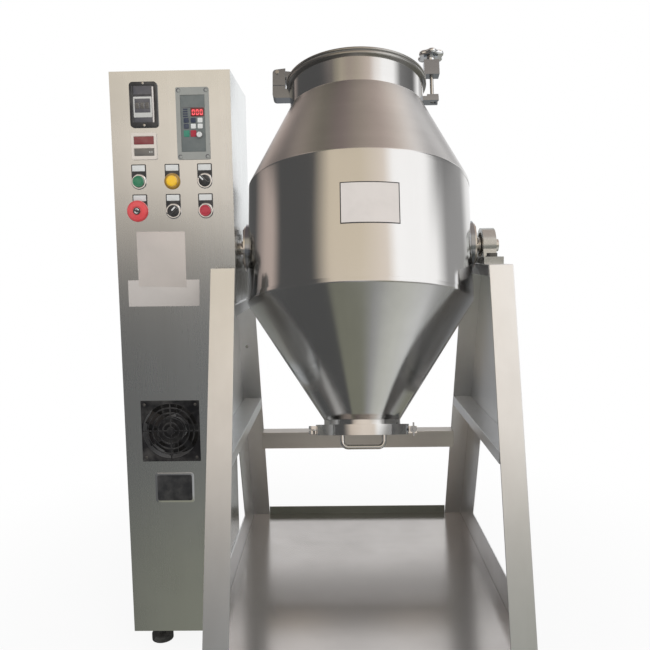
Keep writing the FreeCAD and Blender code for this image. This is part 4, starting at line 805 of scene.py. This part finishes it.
# flat plates: finish, slot, left, low, right, high, corner radius, front, back, front edge
panelPlates = {
    "timerFace": ("darkGrey", "black_plastic", -421.0, 235.0, -383.0, 304.0, 1.5, -101.6, -98.8, 0.6),
    "timerWheelSurround": ("paleTrim", "grey_plastic", -421.0, 246.4, -386.4, 284.0, 1.2, -102.6, -101.4, 0.4),
    "timerWheelWindow": ("darkGrey", "black_plastic", -418.4, 255.0, -389.2, 280.4, 0.8, -103.0, -102.4, 0.3),
    # the white strip at the right edge of the timer's glassy cover is a painted highlight
    "timerCoverHighlight": ("whiteLabel", "grey_plastic", -385.4, 236.5, -382.6, 302.0, 1.2, -103.6, -101.0, 0.6),
    "timerLip": ("blackPlastic", "black_plastic", -420.4, 286.0, -387.2, 288.0, 0.6, -102.2, -101.4, 0.2),
    "meterRedWindow": ("redWindow", "red_cap", -423.2, 197.3, -385.8, 211.7, 0.8, -101.0, -99.3, 0.3),
    "meterSmokeWindow": ("smokeWindow", "black_plastic", -423.2, 176.3, -385.8, 189.7, 0.8, -101.0, -99.3, 0.3),
    "inverterInset": ("slatePlastic", "grey_plastic", -333.8, 182.4, -288.4, 285.6, 1.0, -100.0, -99.2, 0.3),
    "inverterInsetLip": ("darkGrey", "grey_plastic", -331.0, 262.5, -290.8, 263.5, 0.3, -100.3, -99.7, 0.2),
    "inverterDisplay": ("displayRed", "red_cap", -315.0, 246.6, -289.6, 262.6, 1.5, -100.4, -99.6, 0.3),
    "ratingPlateRim": ("chromeKnob", "bright_fittings", -411.7, -499.5, -334.2, -439.3, 6.0, -96.2, -95.0, 0.5, 8),
    "ratingPlateField": ("blackPlastic", "black_plastic", -407.4, -495.4, -338.4, -443.4, 4.0, -96.6, -96.0, 0.2, 8),
}
for label, (finish, slotName, *spot) in panelPlates.items():
    addPiece(label, plate(*spot), finish)


def makeTimer():
    # plug-in timer: rimmed black case and three thumbwheels behind their window
    t = {"x0": -428.0, "z0": 228.0, "x1": -376.0, "z1": 311.0, "front": -104.0, "floor": -99.0}
    x0, z0, x1, z1 = t["x0"], t["z0"], t["x1"], t["z1"]
    rim = trayOf(box2(x0, z0, x1, z1, 6.5, 7), box2(x0 + 5, z0 + 9, x1 - 4, z1 - 6, 2.5, 7),
                 t["front"], t["floor"], panelY, 1.4)
    back = plate(x0 + 3, z0 + 3, x1 - 3, z1 - 3, 2.0, -95.2, -25.0, 0.2)
    addPiece("timerCaseMoulded", joined(rim, back), "blackPlastic", replaced=("timer_case",))
    # ribbed thumbwheel: r = 7.6 + 0.35 sin 20a, and 0.94 r at both of its faces
    count = 120
    a = np.linspace(0, 2 * math.pi, count, endpoint=False)
    across = np.array([-3.4, -3.0, 3.0, 3.4])[:, None] + 0 * a
    r = (7.6 + 0.35 * np.sin(20 * a))[None, :] * np.array([0.94, 1, 1, 0.94])[:, None]
    faces = sheetOfQuads(4, count, False, True) + [list(range(count))[::-1], [3 * count + k for k in range(count)]]
    wheels = []
    for x in (-413.2, -403.8, -394.4):
        points = np.stack([across + x, -98.0 - r * np.cos(a), 267.7 + r * np.sin(a)], axis=-1)
        wheels.append((points.reshape(-1, 3), faces))
    addPiece("timerThumbwheels", joined(*wheels), "smokeWindow")
    screws = panHeads([(-402.0, 307.6), (-402.0, 231.4)], t["front"], 2.6, 1.0, 1.8, 0.6)
    addPiece("timerScrews", screws, "brightFitting")


def makeMeter():
    softened("meterCaseMoulded", "meter_case", "creamPlastic", 1.0)
    keys = heads([(-394.0, 183.0), (-390.0, 183.0)], -101.0, [(0, 0), (1.3, 0), (1.3, 0.8), (0, 0.8)],
                 [0, 0, 0.3, 0], 3, 20)
    addPiece("meterKeys", keys, "paleTrim")


def noughtBars(x, z, wide, tall):
    # the six lit bars of a seven-segment nought, each a thin rounded plate
    bar, mid, top = 1.0, z + tall / 2, z + tall
    places = [(x, top - bar, x + wide, top), (x, z, x + wide, z + bar)]
    for low, high in ((x - bar * 0.2, x + bar * 0.8), (x + wide - bar * 0.8, x + wide + bar * 0.2)):
        places += [(low, mid + 0.5, high, top - 0.6), (low, z + 0.6, high, mid - 0.5)]
    return [plate(*place, 0.3, -100.75, -100.3, 0.1, 2, 2) for place in places]


def makeInverter():
    # speed inverter: grey case, lit digits, membrane keys, and screws whose wells are dark discs of painted shade
    softened("inverterCaseMoulded", "inverter_keypad", "greyPlastic", 1.3)
    digits = [bar for x in (-312.0, -304.6, -297.2) for bar in noughtBars(x, 249.4, 4.4, 9.6)]
    addPiece("inverterDigits", joined(*digits), "litSegment")
    lamps = [plate(-329.0, z, -320.4, z + 2.6, 0.5, -100.4, -99.7, 0.2, 3, 2) for z in (258.6, 254.4, 250.2, 246.0)]
    addPiece("inverterLampColumn", joined(*lamps), "keyBlue")
    keys = {"keyBlue": [(-323.6, 239.8), (-323.6, 229.0), (-310.4, 239.8)],
            "keyWhite": [(-297.6, 239.8), (-310.4, 229.0), (-297.6, 229.0)],
            "keyGreen": [(-323.6, 215.6)], "keyRed": [(-310.6, 215.6)]}
    for finish, spots in keys.items():
        half, tall = (5.4, 6.0) if finish in ("keyGreen", "keyRed") else (4.7, 4.4)
        shapes = [plate(x - half, z - tall, x + half, z + tall, 1.4, -101.0, -99.6, 0.5) for x, z in spots]
        if finish == "keyWhite":
            # a small raised pad on each white key
            shapes += [plate(x - 1.6, z - 1.4, x + 1.6, z + 1.4, 0.7, -101.3, -100.8, 0.2) for x, z in spots]
        addPiece("inverter" + finish[0].upper() + finish[1:], joined(*shapes), finish)
    corners = [(x, z) for x in (-336.6, -285.4) for z in (294.4, 173.4)]
    # dark discs round the screws are painted shade standing for their recessed wells
    wellShade = heads(corners, -101.0, [(0, 0.2), (3.9, 0.2), (3.9, -1.4), (0, -1.4)], [0, 0.2, 0, 0], 3, 28)
    addPiece("inverterScrewWellShade", wellShade, "darkGrey")
    screws = panHeads([(x + 0.8, z - 0.6) for x, z in corners], -101.1, 2.9, 0.8, 1.3, 0.5)
    addPiece("inverterScrews", screws, "greyPlastic")
    # the speed knob keeps its CAD shape under a pale skirt knurled by 0.12 sin 24a
    a = np.linspace(0, 2 * math.pi, 96, endpoint=False)
    rows = np.array([(0.0, -106.0), (4.2, -106.0), (4.9, -105.6), (5.3, -104.6), (5.5, -100.9), (0.0, -100.9)])
    r = rows[:, :1] + 0.12 * np.sin(24 * a) * (rows[:, :1] > 5)
    points = np.stack([r * np.sin(a) - 299.0, rows[:, 1:] + 0 * a, r * np.cos(a) + 213.0], axis=-1)
    skirt = (points.reshape(-1, 3), sheetOfQuads(len(rows), len(a), False, True))
    marker = plate(-299.6, 213.5, -298.4, 217.0, 0.4, -106.3, -105.6, 0.2, 3, 2)
    addPiece("speedKnobKnurled", joined(skirt, marker), "keyWhite", "speed_knob")


makeTimer()
makeMeter()
makeInverter()
print("instruments ready")

controls = {"columns": (-418.0, -354.6, -293.0), "rows": (128.7, 72.8)}
# turned fronts as (radius, height in front of the panel), corner radii, steps and sides
controlFronts = {
    "dished": ([(0, 10.9), (6.8, 10.65), (7.4, 9.8), (8.2, 10.4), (9.7, 10.4), (10.6, 9.2)],
               [0, 1.5, 0.6, 0.4, 0.8, 0.8], 6, 72),
    "lens": ([(0, 11.0), (5.5, 11.0), (9.2, 10.6), (10.6, 8.0)], [0, 6, 3, 1.5], 6, 72),
    "mushroom": ([(0, 25.6), (7.0, 25.6), (7.6, 24.6), (8.6, 24.6), (9.2, 25.8), (17.0, 24.6), (20.0, 20.5),
                  (20.0, 16.5), (17.5, 14.2), (10.6, 14.0)], [0, 0.8, 0.4, 0.4, 0.8, 5, 2.5, 2, 1.5, 1.5], 7, 96),
    "selector": ([(0, 10.2), (9.2, 10.2), (10.6, 8.6)], [0, 0.8, 0.8], 5, 72),
}


def stemmed(kind, x, z):
    # a control's turned front, carried down to its plain stem behind the panel
    front, radii, steps, sides = controlFronts[kind]
    stem = [(10.6, 4.0), (8.6, 4.0), (8.6, -10), (0, -10)]
    return heads([(x, z)], panelY, front + stem, radii + [0] * len(stem), steps, sides)


def makeControls():
    left, middle, right = controls["columns"]
    upper, lower = controls["rows"]
    spots = [(x, z) for z in controls["rows"] for x in controls["columns"]]
    # chromed collars: a stepped ring round each control
    collars = heads(spots, panelY, [(10.9, 0), (14.6, 0), (14.6, 2.2), (13.2, 4.0), (11.4, 4.0), (10.9, 3.2)],
                    [0, 0.3, 1.0, 0.6, 0.3, 0.3], 5, 64)
    addPiece("chromedCollars", collars, "chromeKnob", replaced=("button_collars",))
    # legend holders: black plates that run down behind each collar, with blank pale inserts
    holders, inserts = [], []
    foot = np.linspace(math.pi, 2 * math.pi, 25)
    for x, z in spots:
        low = np.stack([x + 13.6 * np.cos(foot), z + 13.6 * np.sin(foot)], axis=1)
        top = rounded([(x + 14.0, z + 10), (x + 14.0, z + 32.5), (x - 14.0, z + 32.5), (x - 14.0, z + 10)],
                      [0, 2, 2, 0], 5)
        holders.append(slabOf(np.concatenate([low, top]), panelY - 1.4, panelY, 0.4))
        inserts.append(plate(x - 12.0, z + 19.6, x + 12.0, z + 30.6, 0.8, panelY - 2.0, panelY - 1.2, 0.2))
    addPiece("legendHolders", joined(*holders), "blackPlastic", replaced=("legend_plates",))
    addPiece("legendInserts", joined(*inserts), "keyWhite")

    for label, kind, x, z, finish, slotName, body, node in (
            ("greenCap", "dished", left, upper, "greenCap", "green_cap", "green_button", "green_button"),
            ("redCap", "dished", right, lower, "redCap", "red_cap", "red_button", "red_button"),
            ("yellowLampLens", "lens", middle, upper, "yellowLens", "yellow_lens", "frame", "yellow_pilot_lamp"),
            ("mushroomHead", "mushroom", left, lower, "mushroomRed", "red_cap", "emergency_stop",
             "emergency_stop_head")):
        addPiece(label, stemmed(kind, x, z), finish, body, (node,))
    skirt = heads([(middle, upper)], panelY, [(10.8, 4.2), (15.0, 0.0), (15.4, 0.0), (15.4, 2.4), (13.4, 6.4), (10.8, 7.4)],
                  [0, 0, 0.3, 1.0, 1.5, 0.4], 5, 64)
    addPiece("yellowLampSkirt", skirt, "amberSkirt")
    disc = heads([(left, lower)], panelY, [(0, 26.0), (6.9, 26.0), (6.9, 25.0), (0, 25.0)], [0, 0.3, 0, 0], 3, 48)
    addPiece("mushroomDisc", disc, "blackPlastic", "emergency_stop")
    # two turn-to-release marks: arcs at radius 3.8 whose half width is sqrt(1 - t) + 0.15
    t = np.linspace(0, 1, 18)
    wide = (np.sqrt(1 - t) + 0.15)[:, None]
    marks = []
    for start in (0.3, 0.3 + math.pi):
        bearing = np.stack([np.cos(start + t * 2.0), np.sin(start + t * 2.0)], axis=1)
        flat = np.concatenate([(3.8 + wide) * bearing, ((3.8 - wide) * bearing)[::-1]])
        count = len(flat)
        front = np.stack([flat[:, 0] + left, np.full(count, panelY - 26.2), flat[:, 1] + lower], axis=1)
        ends = [list(range(count)), list(range(count, 2 * count))[::-1]]
        marks.append((np.concatenate([front, front + [0, 0.3, 0]]), sheetOfQuads(2, count, False, True) + ends))
    addPiece("mushroomMarks", joined(*marks), "keyWhite", "emergency_stop")

    # turning knobs: disc, grip bar of half width 2.9 + 0.9 v v, and a white pointer line
    v = np.linspace(-1, 1, 25)
    side = 2.9 + 0.9 * v ** 2
    grip = np.concatenate([np.stack([side, v * 9.6], axis=1), np.stack([-side, v * 9.6], axis=1)[::-1]])
    pointer = box2(-1.35, 0.2, 1.35, 9.4, 0.6, 4)
    for label, x, z, lean, body in (("upperSelectorKnob", right, upper, -45.0, "upper_selector"),
                                    ("lowerSelectorKnob", middle, lower, 45.0, "lower_selector")):
        c, s = math.cos(math.radians(lean)), math.sin(math.radians(lean))
        leaned = np.array([(c, -s), (s, c)])
        bar = slabOf(grip @ leaned + [x, z], panelY - 18.6, panelY - 9.8, 1.2, 4)
        addPiece(label, joined(stemmed("selector", x, z), bar), "blackPlastic", body, (body,))
        line = slabOf(pointer @ leaned + [x, z], panelY - 18.95, panelY - 18.3, 0.15, 2)
        addPiece(label + "Line", line, "keyWhite", body)


makeControls()
print("controls ready")

fanSpot = {"x": -376.7, "z": -354.3, "halfWide": 57.5, "halfTall": 61.0, "bore": 56.4, "mat": 58.0}


def makeFanSurround():
    # square black surround with a round hole: rows run from the circle to the square
    f = fanSpot
    a = np.linspace(0, 2 * math.pi, 192, endpoint=False)
    bearing = np.stack([np.cos(a), np.sin(a)], axis=1)
    reach = 1 / np.maximum(np.abs(np.cos(a)) / f["halfWide"], np.abs(np.sin(a)) / f["halfTall"])
    square, circle = reach[:, None] * bearing, f["bore"] * bearing
    rows = [(circle, -95.0), (circle, -96.6), (circle * 1.01, -97.0),
            (square * 0.985, -97.2), (square, -96.4), (square, -95.0)]
    points = np.concatenate([np.column_stack([flat[:, 0] + f["x"], np.full(len(flat), y), flat[:, 1] + f["z"]])
                             for flat, y in rows])
    addPiece("fanSurround", (points, sheetOfQuads(len(rows), len(a), True, True)), "fanPlastic")
    spots = [(f["x"] + sx * 50, f["z"] + sz * 53) for sx in (-1, 1) for sz in (-1, 1)]
    addPiece("fanScrews", panHeads(spots, -97.0, 3.0, 0.9, 1.7, 0.6), "darkBolt")
    m = f["mat"]
    mat = plate(f["x"] - m, f["z"] - m, f["x"] + m, f["z"] + m, 3.0, -54.0, -50.0, 0.5)
    addPiece("fanFilterMat", mat, "filterMat")


# bare stickers on the cabinet, the upper one over the lower: finish, corners, front
stickers = {
    "lowerBlankSticker": ("paperLabel", [(-448.3, -108.0), (-311.5, -108.4), (-310.0, -57.6), (-448.1, -57.4)], -95.25),
    "upperBlankSticker": ("paleLabel", [(-427.4, -69.0), (-335.4, -72.0), (-334.9, 34.2), (-427.9, 35.2)], -95.5),
}
bellySticker = {"left": -39.2, "right": 66.0, "low": -17.6, "high": 57.0, "back": 224.6}


def makeStickers():
    for label, (finish, corners, near) in stickers.items():
        addPiece(label, slabOf(rounded(corners, [0.6] * 4, 3), near, panelY, 0.05, 2), finish)
    # bare sticker on the belly: a patch of the belly's own cylinder, with a thin dark border
    s, radius = bellySticker, vesselSizes["belly"]
    for label, grow, lift, finish in (("bellyStickerBorder", 0.0, 0.55, "blackPlastic"),
                                      ("bellyStickerBlank", 1.9, 0.75, "whiteLabel")):
        u = np.linspace((s["left"] + grow) / radius, (s["right"] - grow) / radius, 40)
        v = np.linspace(s["low"] + grow, s["high"] - grow, 12)
        uu, vv = np.meshgrid(u, v)
        points = np.concatenate([np.stack([r * np.sin(uu), -r * np.cos(uu), vv], axis=-1).reshape(-1, 3)
                                 for r in (radius + lift, s["back"])])
        wide, tall, count = u.size, v.size, u.size * v.size
        top = sheetOfQuads(tall, wide)
        base = [[index + count for index in face][::-1] for face in top]
        rim = list(range(wide)) + [k * wide + wide - 1 for k in range(1, tall)]
        rim += [(tall - 1) * wide + k for k in range(wide - 2, -1, -1)] + [k * wide for k in range(tall - 2, 0, -1)]
        walls = [[p, q, q + count, p + count] for p, q in zip(rim, rim[1:] + rim[:1])]
        addPiece(label, (points, top + base + walls), finish, "vessel", lift=onVessel)


makeFanSurround()
makeStickers()
print("plates ready")

# the vessel mirrors the surroundings rather than the cabinet beside it
for piece in bpy.context.scene.objects:
    if piece.type == "MESH" and not piece.name.startswith("left"):
        if max(corner[0] for corner in piece.bound_box) < datum[0] - 0.2:
            piece.visible_glossy = False


# ---- studio: white surround, pale floor, and a glossy-only dome that metals mirror
studio = {"keyWatts": 34.0, "fillWatts": 12.0, "ambient": 0.62, "domeRadius": 2.6}


def seenDirectly(tree):
    # 1 for rays from the camera and for mirrored or refracted ones, else 0
    path = tree.nodes.new("ShaderNodeLightPath")
    bent = math2(tree, "MAXIMUM", path.outputs["Is Glossy Ray"], path.outputs["Is Transmission Ray"])
    return math2(tree, "MAXIMUM", path.outputs["Is Camera Ray"], bent)


def glossyOnly(piece):
    # seen by mirrored rays alone, and no part of the object
    for setting in ("visible_camera", "visible_diffuse", "visible_shadow", "visible_transmission",
                    "visible_volume_scatter"):
        setattr(piece, setting, False)


def makeWorld():
    world = bpy.data.worlds.new("studioWorld")
    bpy.context.scene.world = world
    world.use_nodes = True
    tree = world.node_tree
    background = tree.nodes["Background"]
    lit = math2(tree, "MULTIPLY", seenDirectly(tree), 1.0 - studio["ambient"])
    strength = math2(tree, "ADD", lit, studio["ambient"])
    background.inputs["Color"].default_value = (1, 1, 1, 1)
    link(tree, strength, background.inputs["Strength"])


def makeFloor():
    mesh = bpy.data.meshes.new("studioFloor")
    mesh.from_pydata([(-9, -9, 0), (9, -9, 0), (9, 9, 0), (-9, 9, 0)], [], [(0, 1, 2, 3)])
    floor = bpy.data.objects.new("studioFloor", mesh)
    material = bpy.data.materials.new("paleFloor")
    material.use_nodes = True
    tree = material.node_tree
    tree.nodes.remove(tree.nodes["Principled BSDF"])
    diffuse = tree.nodes.new("ShaderNodeBsdfDiffuse")
    diffuse.inputs["Color"].default_value = (0.86, 0.86, 0.86, 1)
    glow = tree.nodes.new("ShaderNodeEmission")
    glow.inputs["Color"].default_value = (1, 1, 1, 1)
    mix = tree.nodes.new("ShaderNodeMixShader")
    where = tree.nodes.new("ShaderNodeTexCoord").outputs["Object"]
    far = tree.nodes.new("ShaderNodeVectorMath")
    far.operation = "LENGTH"
    link(tree, where, far.inputs[0])
    fade = remap(tree, far.outputs["Value"], 0.45, 1.4, 0.90, 1.0, True)
    link(tree, math2(tree, "MULTIPLY", seenDirectly(tree), fade), mix.inputs[0])
    link(tree, diffuse.outputs[0], mix.inputs[1])
    link(tree, glow.outputs[0], mix.inputs[2])
    link(tree, mix.outputs[0], tree.nodes["Material Output"].inputs["Surface"])
    mesh.materials.append(material)
    bpy.context.scene.collection.objects.link(floor)
    floor.visible_glossy = False


# what stands round the machine, as metals see it: a workshop with a bright shutter door in
# front and to the right, dark racks on the left and a warm ceiling. Colour by bearing (0 to 1
# is a full turn clockwise from behind, 0.5 is the operator's side), from the floor up
daylight, doorway, warmWall = (1.3, 1.3, 1.3), (0.95, 0.85, 0.75), (0.6, 0.5, 0.45)
darkRack, greyWall, paleWall = (0.1, 0.1, 0.1), (0.4, 0.4, 0.4), (1.0, 1.0, 1.0)
wornFloor, darkFloor = (0.25, 0.25, 0.2), (0.15, 0.15, 0.15)
surroundings = {
    "low": [(0.0, greyWall), (0.17, darkRack), (0.4, darkRack), (0.42, wornFloor), (0.5, wornFloor), (0.54, greyWall),
            (0.6, (0.7, 0.7, 0.65)), (0.7, (0.8, 0.8, 0.8)), (0.74, greyWall), (0.85, wornFloor)],
    "belt": [(0.0, greyWall), (0.15, darkFloor), (0.35, darkRack), (0.45, darkFloor), (0.5, greyWall), (0.56, wornFloor),
             (0.7, greyWall), (0.82, wornFloor)],
    "level": [(0.0, paleWall), (0.05, paleWall), (0.07, darkRack), (0.14, darkRack), (0.2, warmWall), (0.23, warmWall),
              (0.26, darkRack), (0.37, darkRack), (0.42, (0.8, 0.7, 0.6)), (0.5, doorway), (0.57, doorway), (0.6, daylight),
              (0.72, daylight), (0.76, greyWall), (0.84, greyWall), (0.88, paleWall)],
    "upper": [(0.0, paleWall), (0.1, warmWall), (0.16, darkRack), (0.36, darkRack), (0.41, (0.8, 0.7, 0.55)), (0.5, (0.8, 0.7, 0.55)),
              (0.57, doorway), (0.6, daylight), (0.7, daylight), (0.74, (0.25, 0.25, 0.25)), (0.82, darkFloor),
              (0.86, daylight), (0.89, greyWall), (0.96, paleWall)],
    # the ceiling by how far a direction points right (0 left, 1 right), not by bearing
    "above": [(0.0, warmWall), (0.2, warmWall), (0.28, (0.2, 0.2, 0.15)), (0.4, (0.25, 0.2, 0.2)), (0.5, (0.4, 0.35, 0.3)),
              (0.65, warmWall), (0.74, doorway), (0.78, daylight)],
}


def makeDome():
    mesh = bpy.data.meshes.new("surroundingsDome")
    a = np.linspace(0, 2 * math.pi, 64, endpoint=False)
    e = np.linspace(-math.pi / 2, math.pi / 2, 33)[:, None]
    points = np.stack([np.cos(e) * np.sin(a), -np.cos(e) * np.cos(a), np.sin(e) + 0 * a], axis=-1).reshape(-1, 3)
    mesh.from_pydata((points * studio["domeRadius"] + datum).tolist(), [], sheetOfQuads(33, 64, False, True))
    mesh.shade_smooth()
    dome = bpy.data.objects.new("surroundingsDome", mesh)
    bpy.context.scene.collection.objects.link(dome)
    material = bpy.data.materials.new("surroundings")
    material.use_nodes = True
    tree = material.node_tree
    tree.nodes.remove(tree.nodes["Principled BSDF"])
    local = centred(tree, tree.nodes.new("ShaderNodeTexCoord").outputs["Object"])
    parts = tree.nodes.new("ShaderNodeSeparateXYZ")
    link(tree, local, parts.inputs[0])
    bearing = math2(tree, "ARCTAN2", parts.outputs[0], math2(tree, "MULTIPLY", parts.outputs[1], -1.0))
    turn = math2(tree, "ADD", math2(tree, "DIVIDE", bearing, 2 * math.pi), 0.5)
    height = math2(tree, "DIVIDE", parts.outputs[2], studio["domeRadius"])
    across = math2(tree, "ADD", math2(tree, "DIVIDE", parts.outputs[0], 2 * studio["domeRadius"]), 0.5)

    def ring(stops, by=turn):
        ramp = tree.nodes.new("ShaderNodeValToRGB").color_ramp
        ramp.elements[0].position, ramp.elements[0].color = stops[0][0], (*stops[0][1], 1)
        ramp.elements[1].position, ramp.elements[1].color = 1.0, (*stops[0 if by is turn else -1][1], 1)
        for position, colour in stops[1:]:
            ramp.elements.new(position).color = (*colour, 1)
        node = tree.nodes[-1]
        link(tree, by, node.inputs[0])
        return node.outputs["Color"]

    def step(low, high):
        return remap(tree, height, low, high, smooth=True)

    whole = mixColour(tree, step(-0.58, -0.40), ring(surroundings["low"]), ring(surroundings["belt"]))
    whole = mixColour(tree, step(-0.03, 0.085), whole, ring(surroundings["level"]))
    whole = mixColour(tree, step(0.28, 0.42), whole, ring(surroundings["upper"]))
    whole = mixColour(tree, step(0.64, 0.83), whole, ring(surroundings["above"], across))
    glow = tree.nodes.new("ShaderNodeEmission")
    link(tree, whole, glow.inputs["Color"])
    link(tree, glow.outputs[0], tree.nodes["Material Output"].inputs["Surface"])
    mesh.materials.append(material)
    glossyOnly(dome)


def makeBeam():
    # a dark beam across the room behind the machine, seen only in the tray's sheen
    mesh = bpy.data.meshes.new("roomBeam")
    mesh.from_pydata([(-0.8, 1.1, 0.66), (0.9, 1.1, 0.63), (0.9, 1.1, 0.78), (-0.8, 1.1, 0.80)], [], [(0, 1, 2, 3)])
    beam = bpy.data.objects.new("roomBeam", mesh)
    material = bpy.data.materials.new("darkBeam")
    material.use_nodes = True
    shader = material.node_tree.nodes["Principled BSDF"]
    shader.inputs["Base Color"].default_value = (0.10, 0.095, 0.085, 1)
    shader.inputs["Roughness"].default_value = 0.9
    mesh.materials.append(material)
    bpy.context.scene.collection.objects.link(beam)
    glossyOnly(beam)


def addLamp(name, place, target, size, watts, colour):
    data = bpy.data.lights.new(name, "AREA")
    data.shape = "RECTANGLE"
    data.size, data.size_y = size
    data.energy = watts
    data.color = colour
    lamp = bpy.data.objects.new(name, data)
    lamp.location = place
    lamp.rotation_euler = (Vector(target) - Vector(place)).to_track_quat("-Z", "Y").to_euler()
    lamp.visible_glossy = False
    bpy.context.scene.collection.objects.link(lamp)


makeWorld()
makeFloor()
makeDome()
makeBeam()
addLamp("softKey", (1.4, -2.6, 2.6), (0.1, 0, 0.7), (1.8, 1.8), studio["keyWatts"], (1.0, 0.98, 0.95))
addLamp("softFill", (-2.2, -2.0, 1.6), (0, 0, 0.6), (1.6, 1.6), studio["fillWatts"], (0.96, 0.98, 1.0))
bpy.context.scene.view_settings.view_transform = "Standard"
print("studio ready")
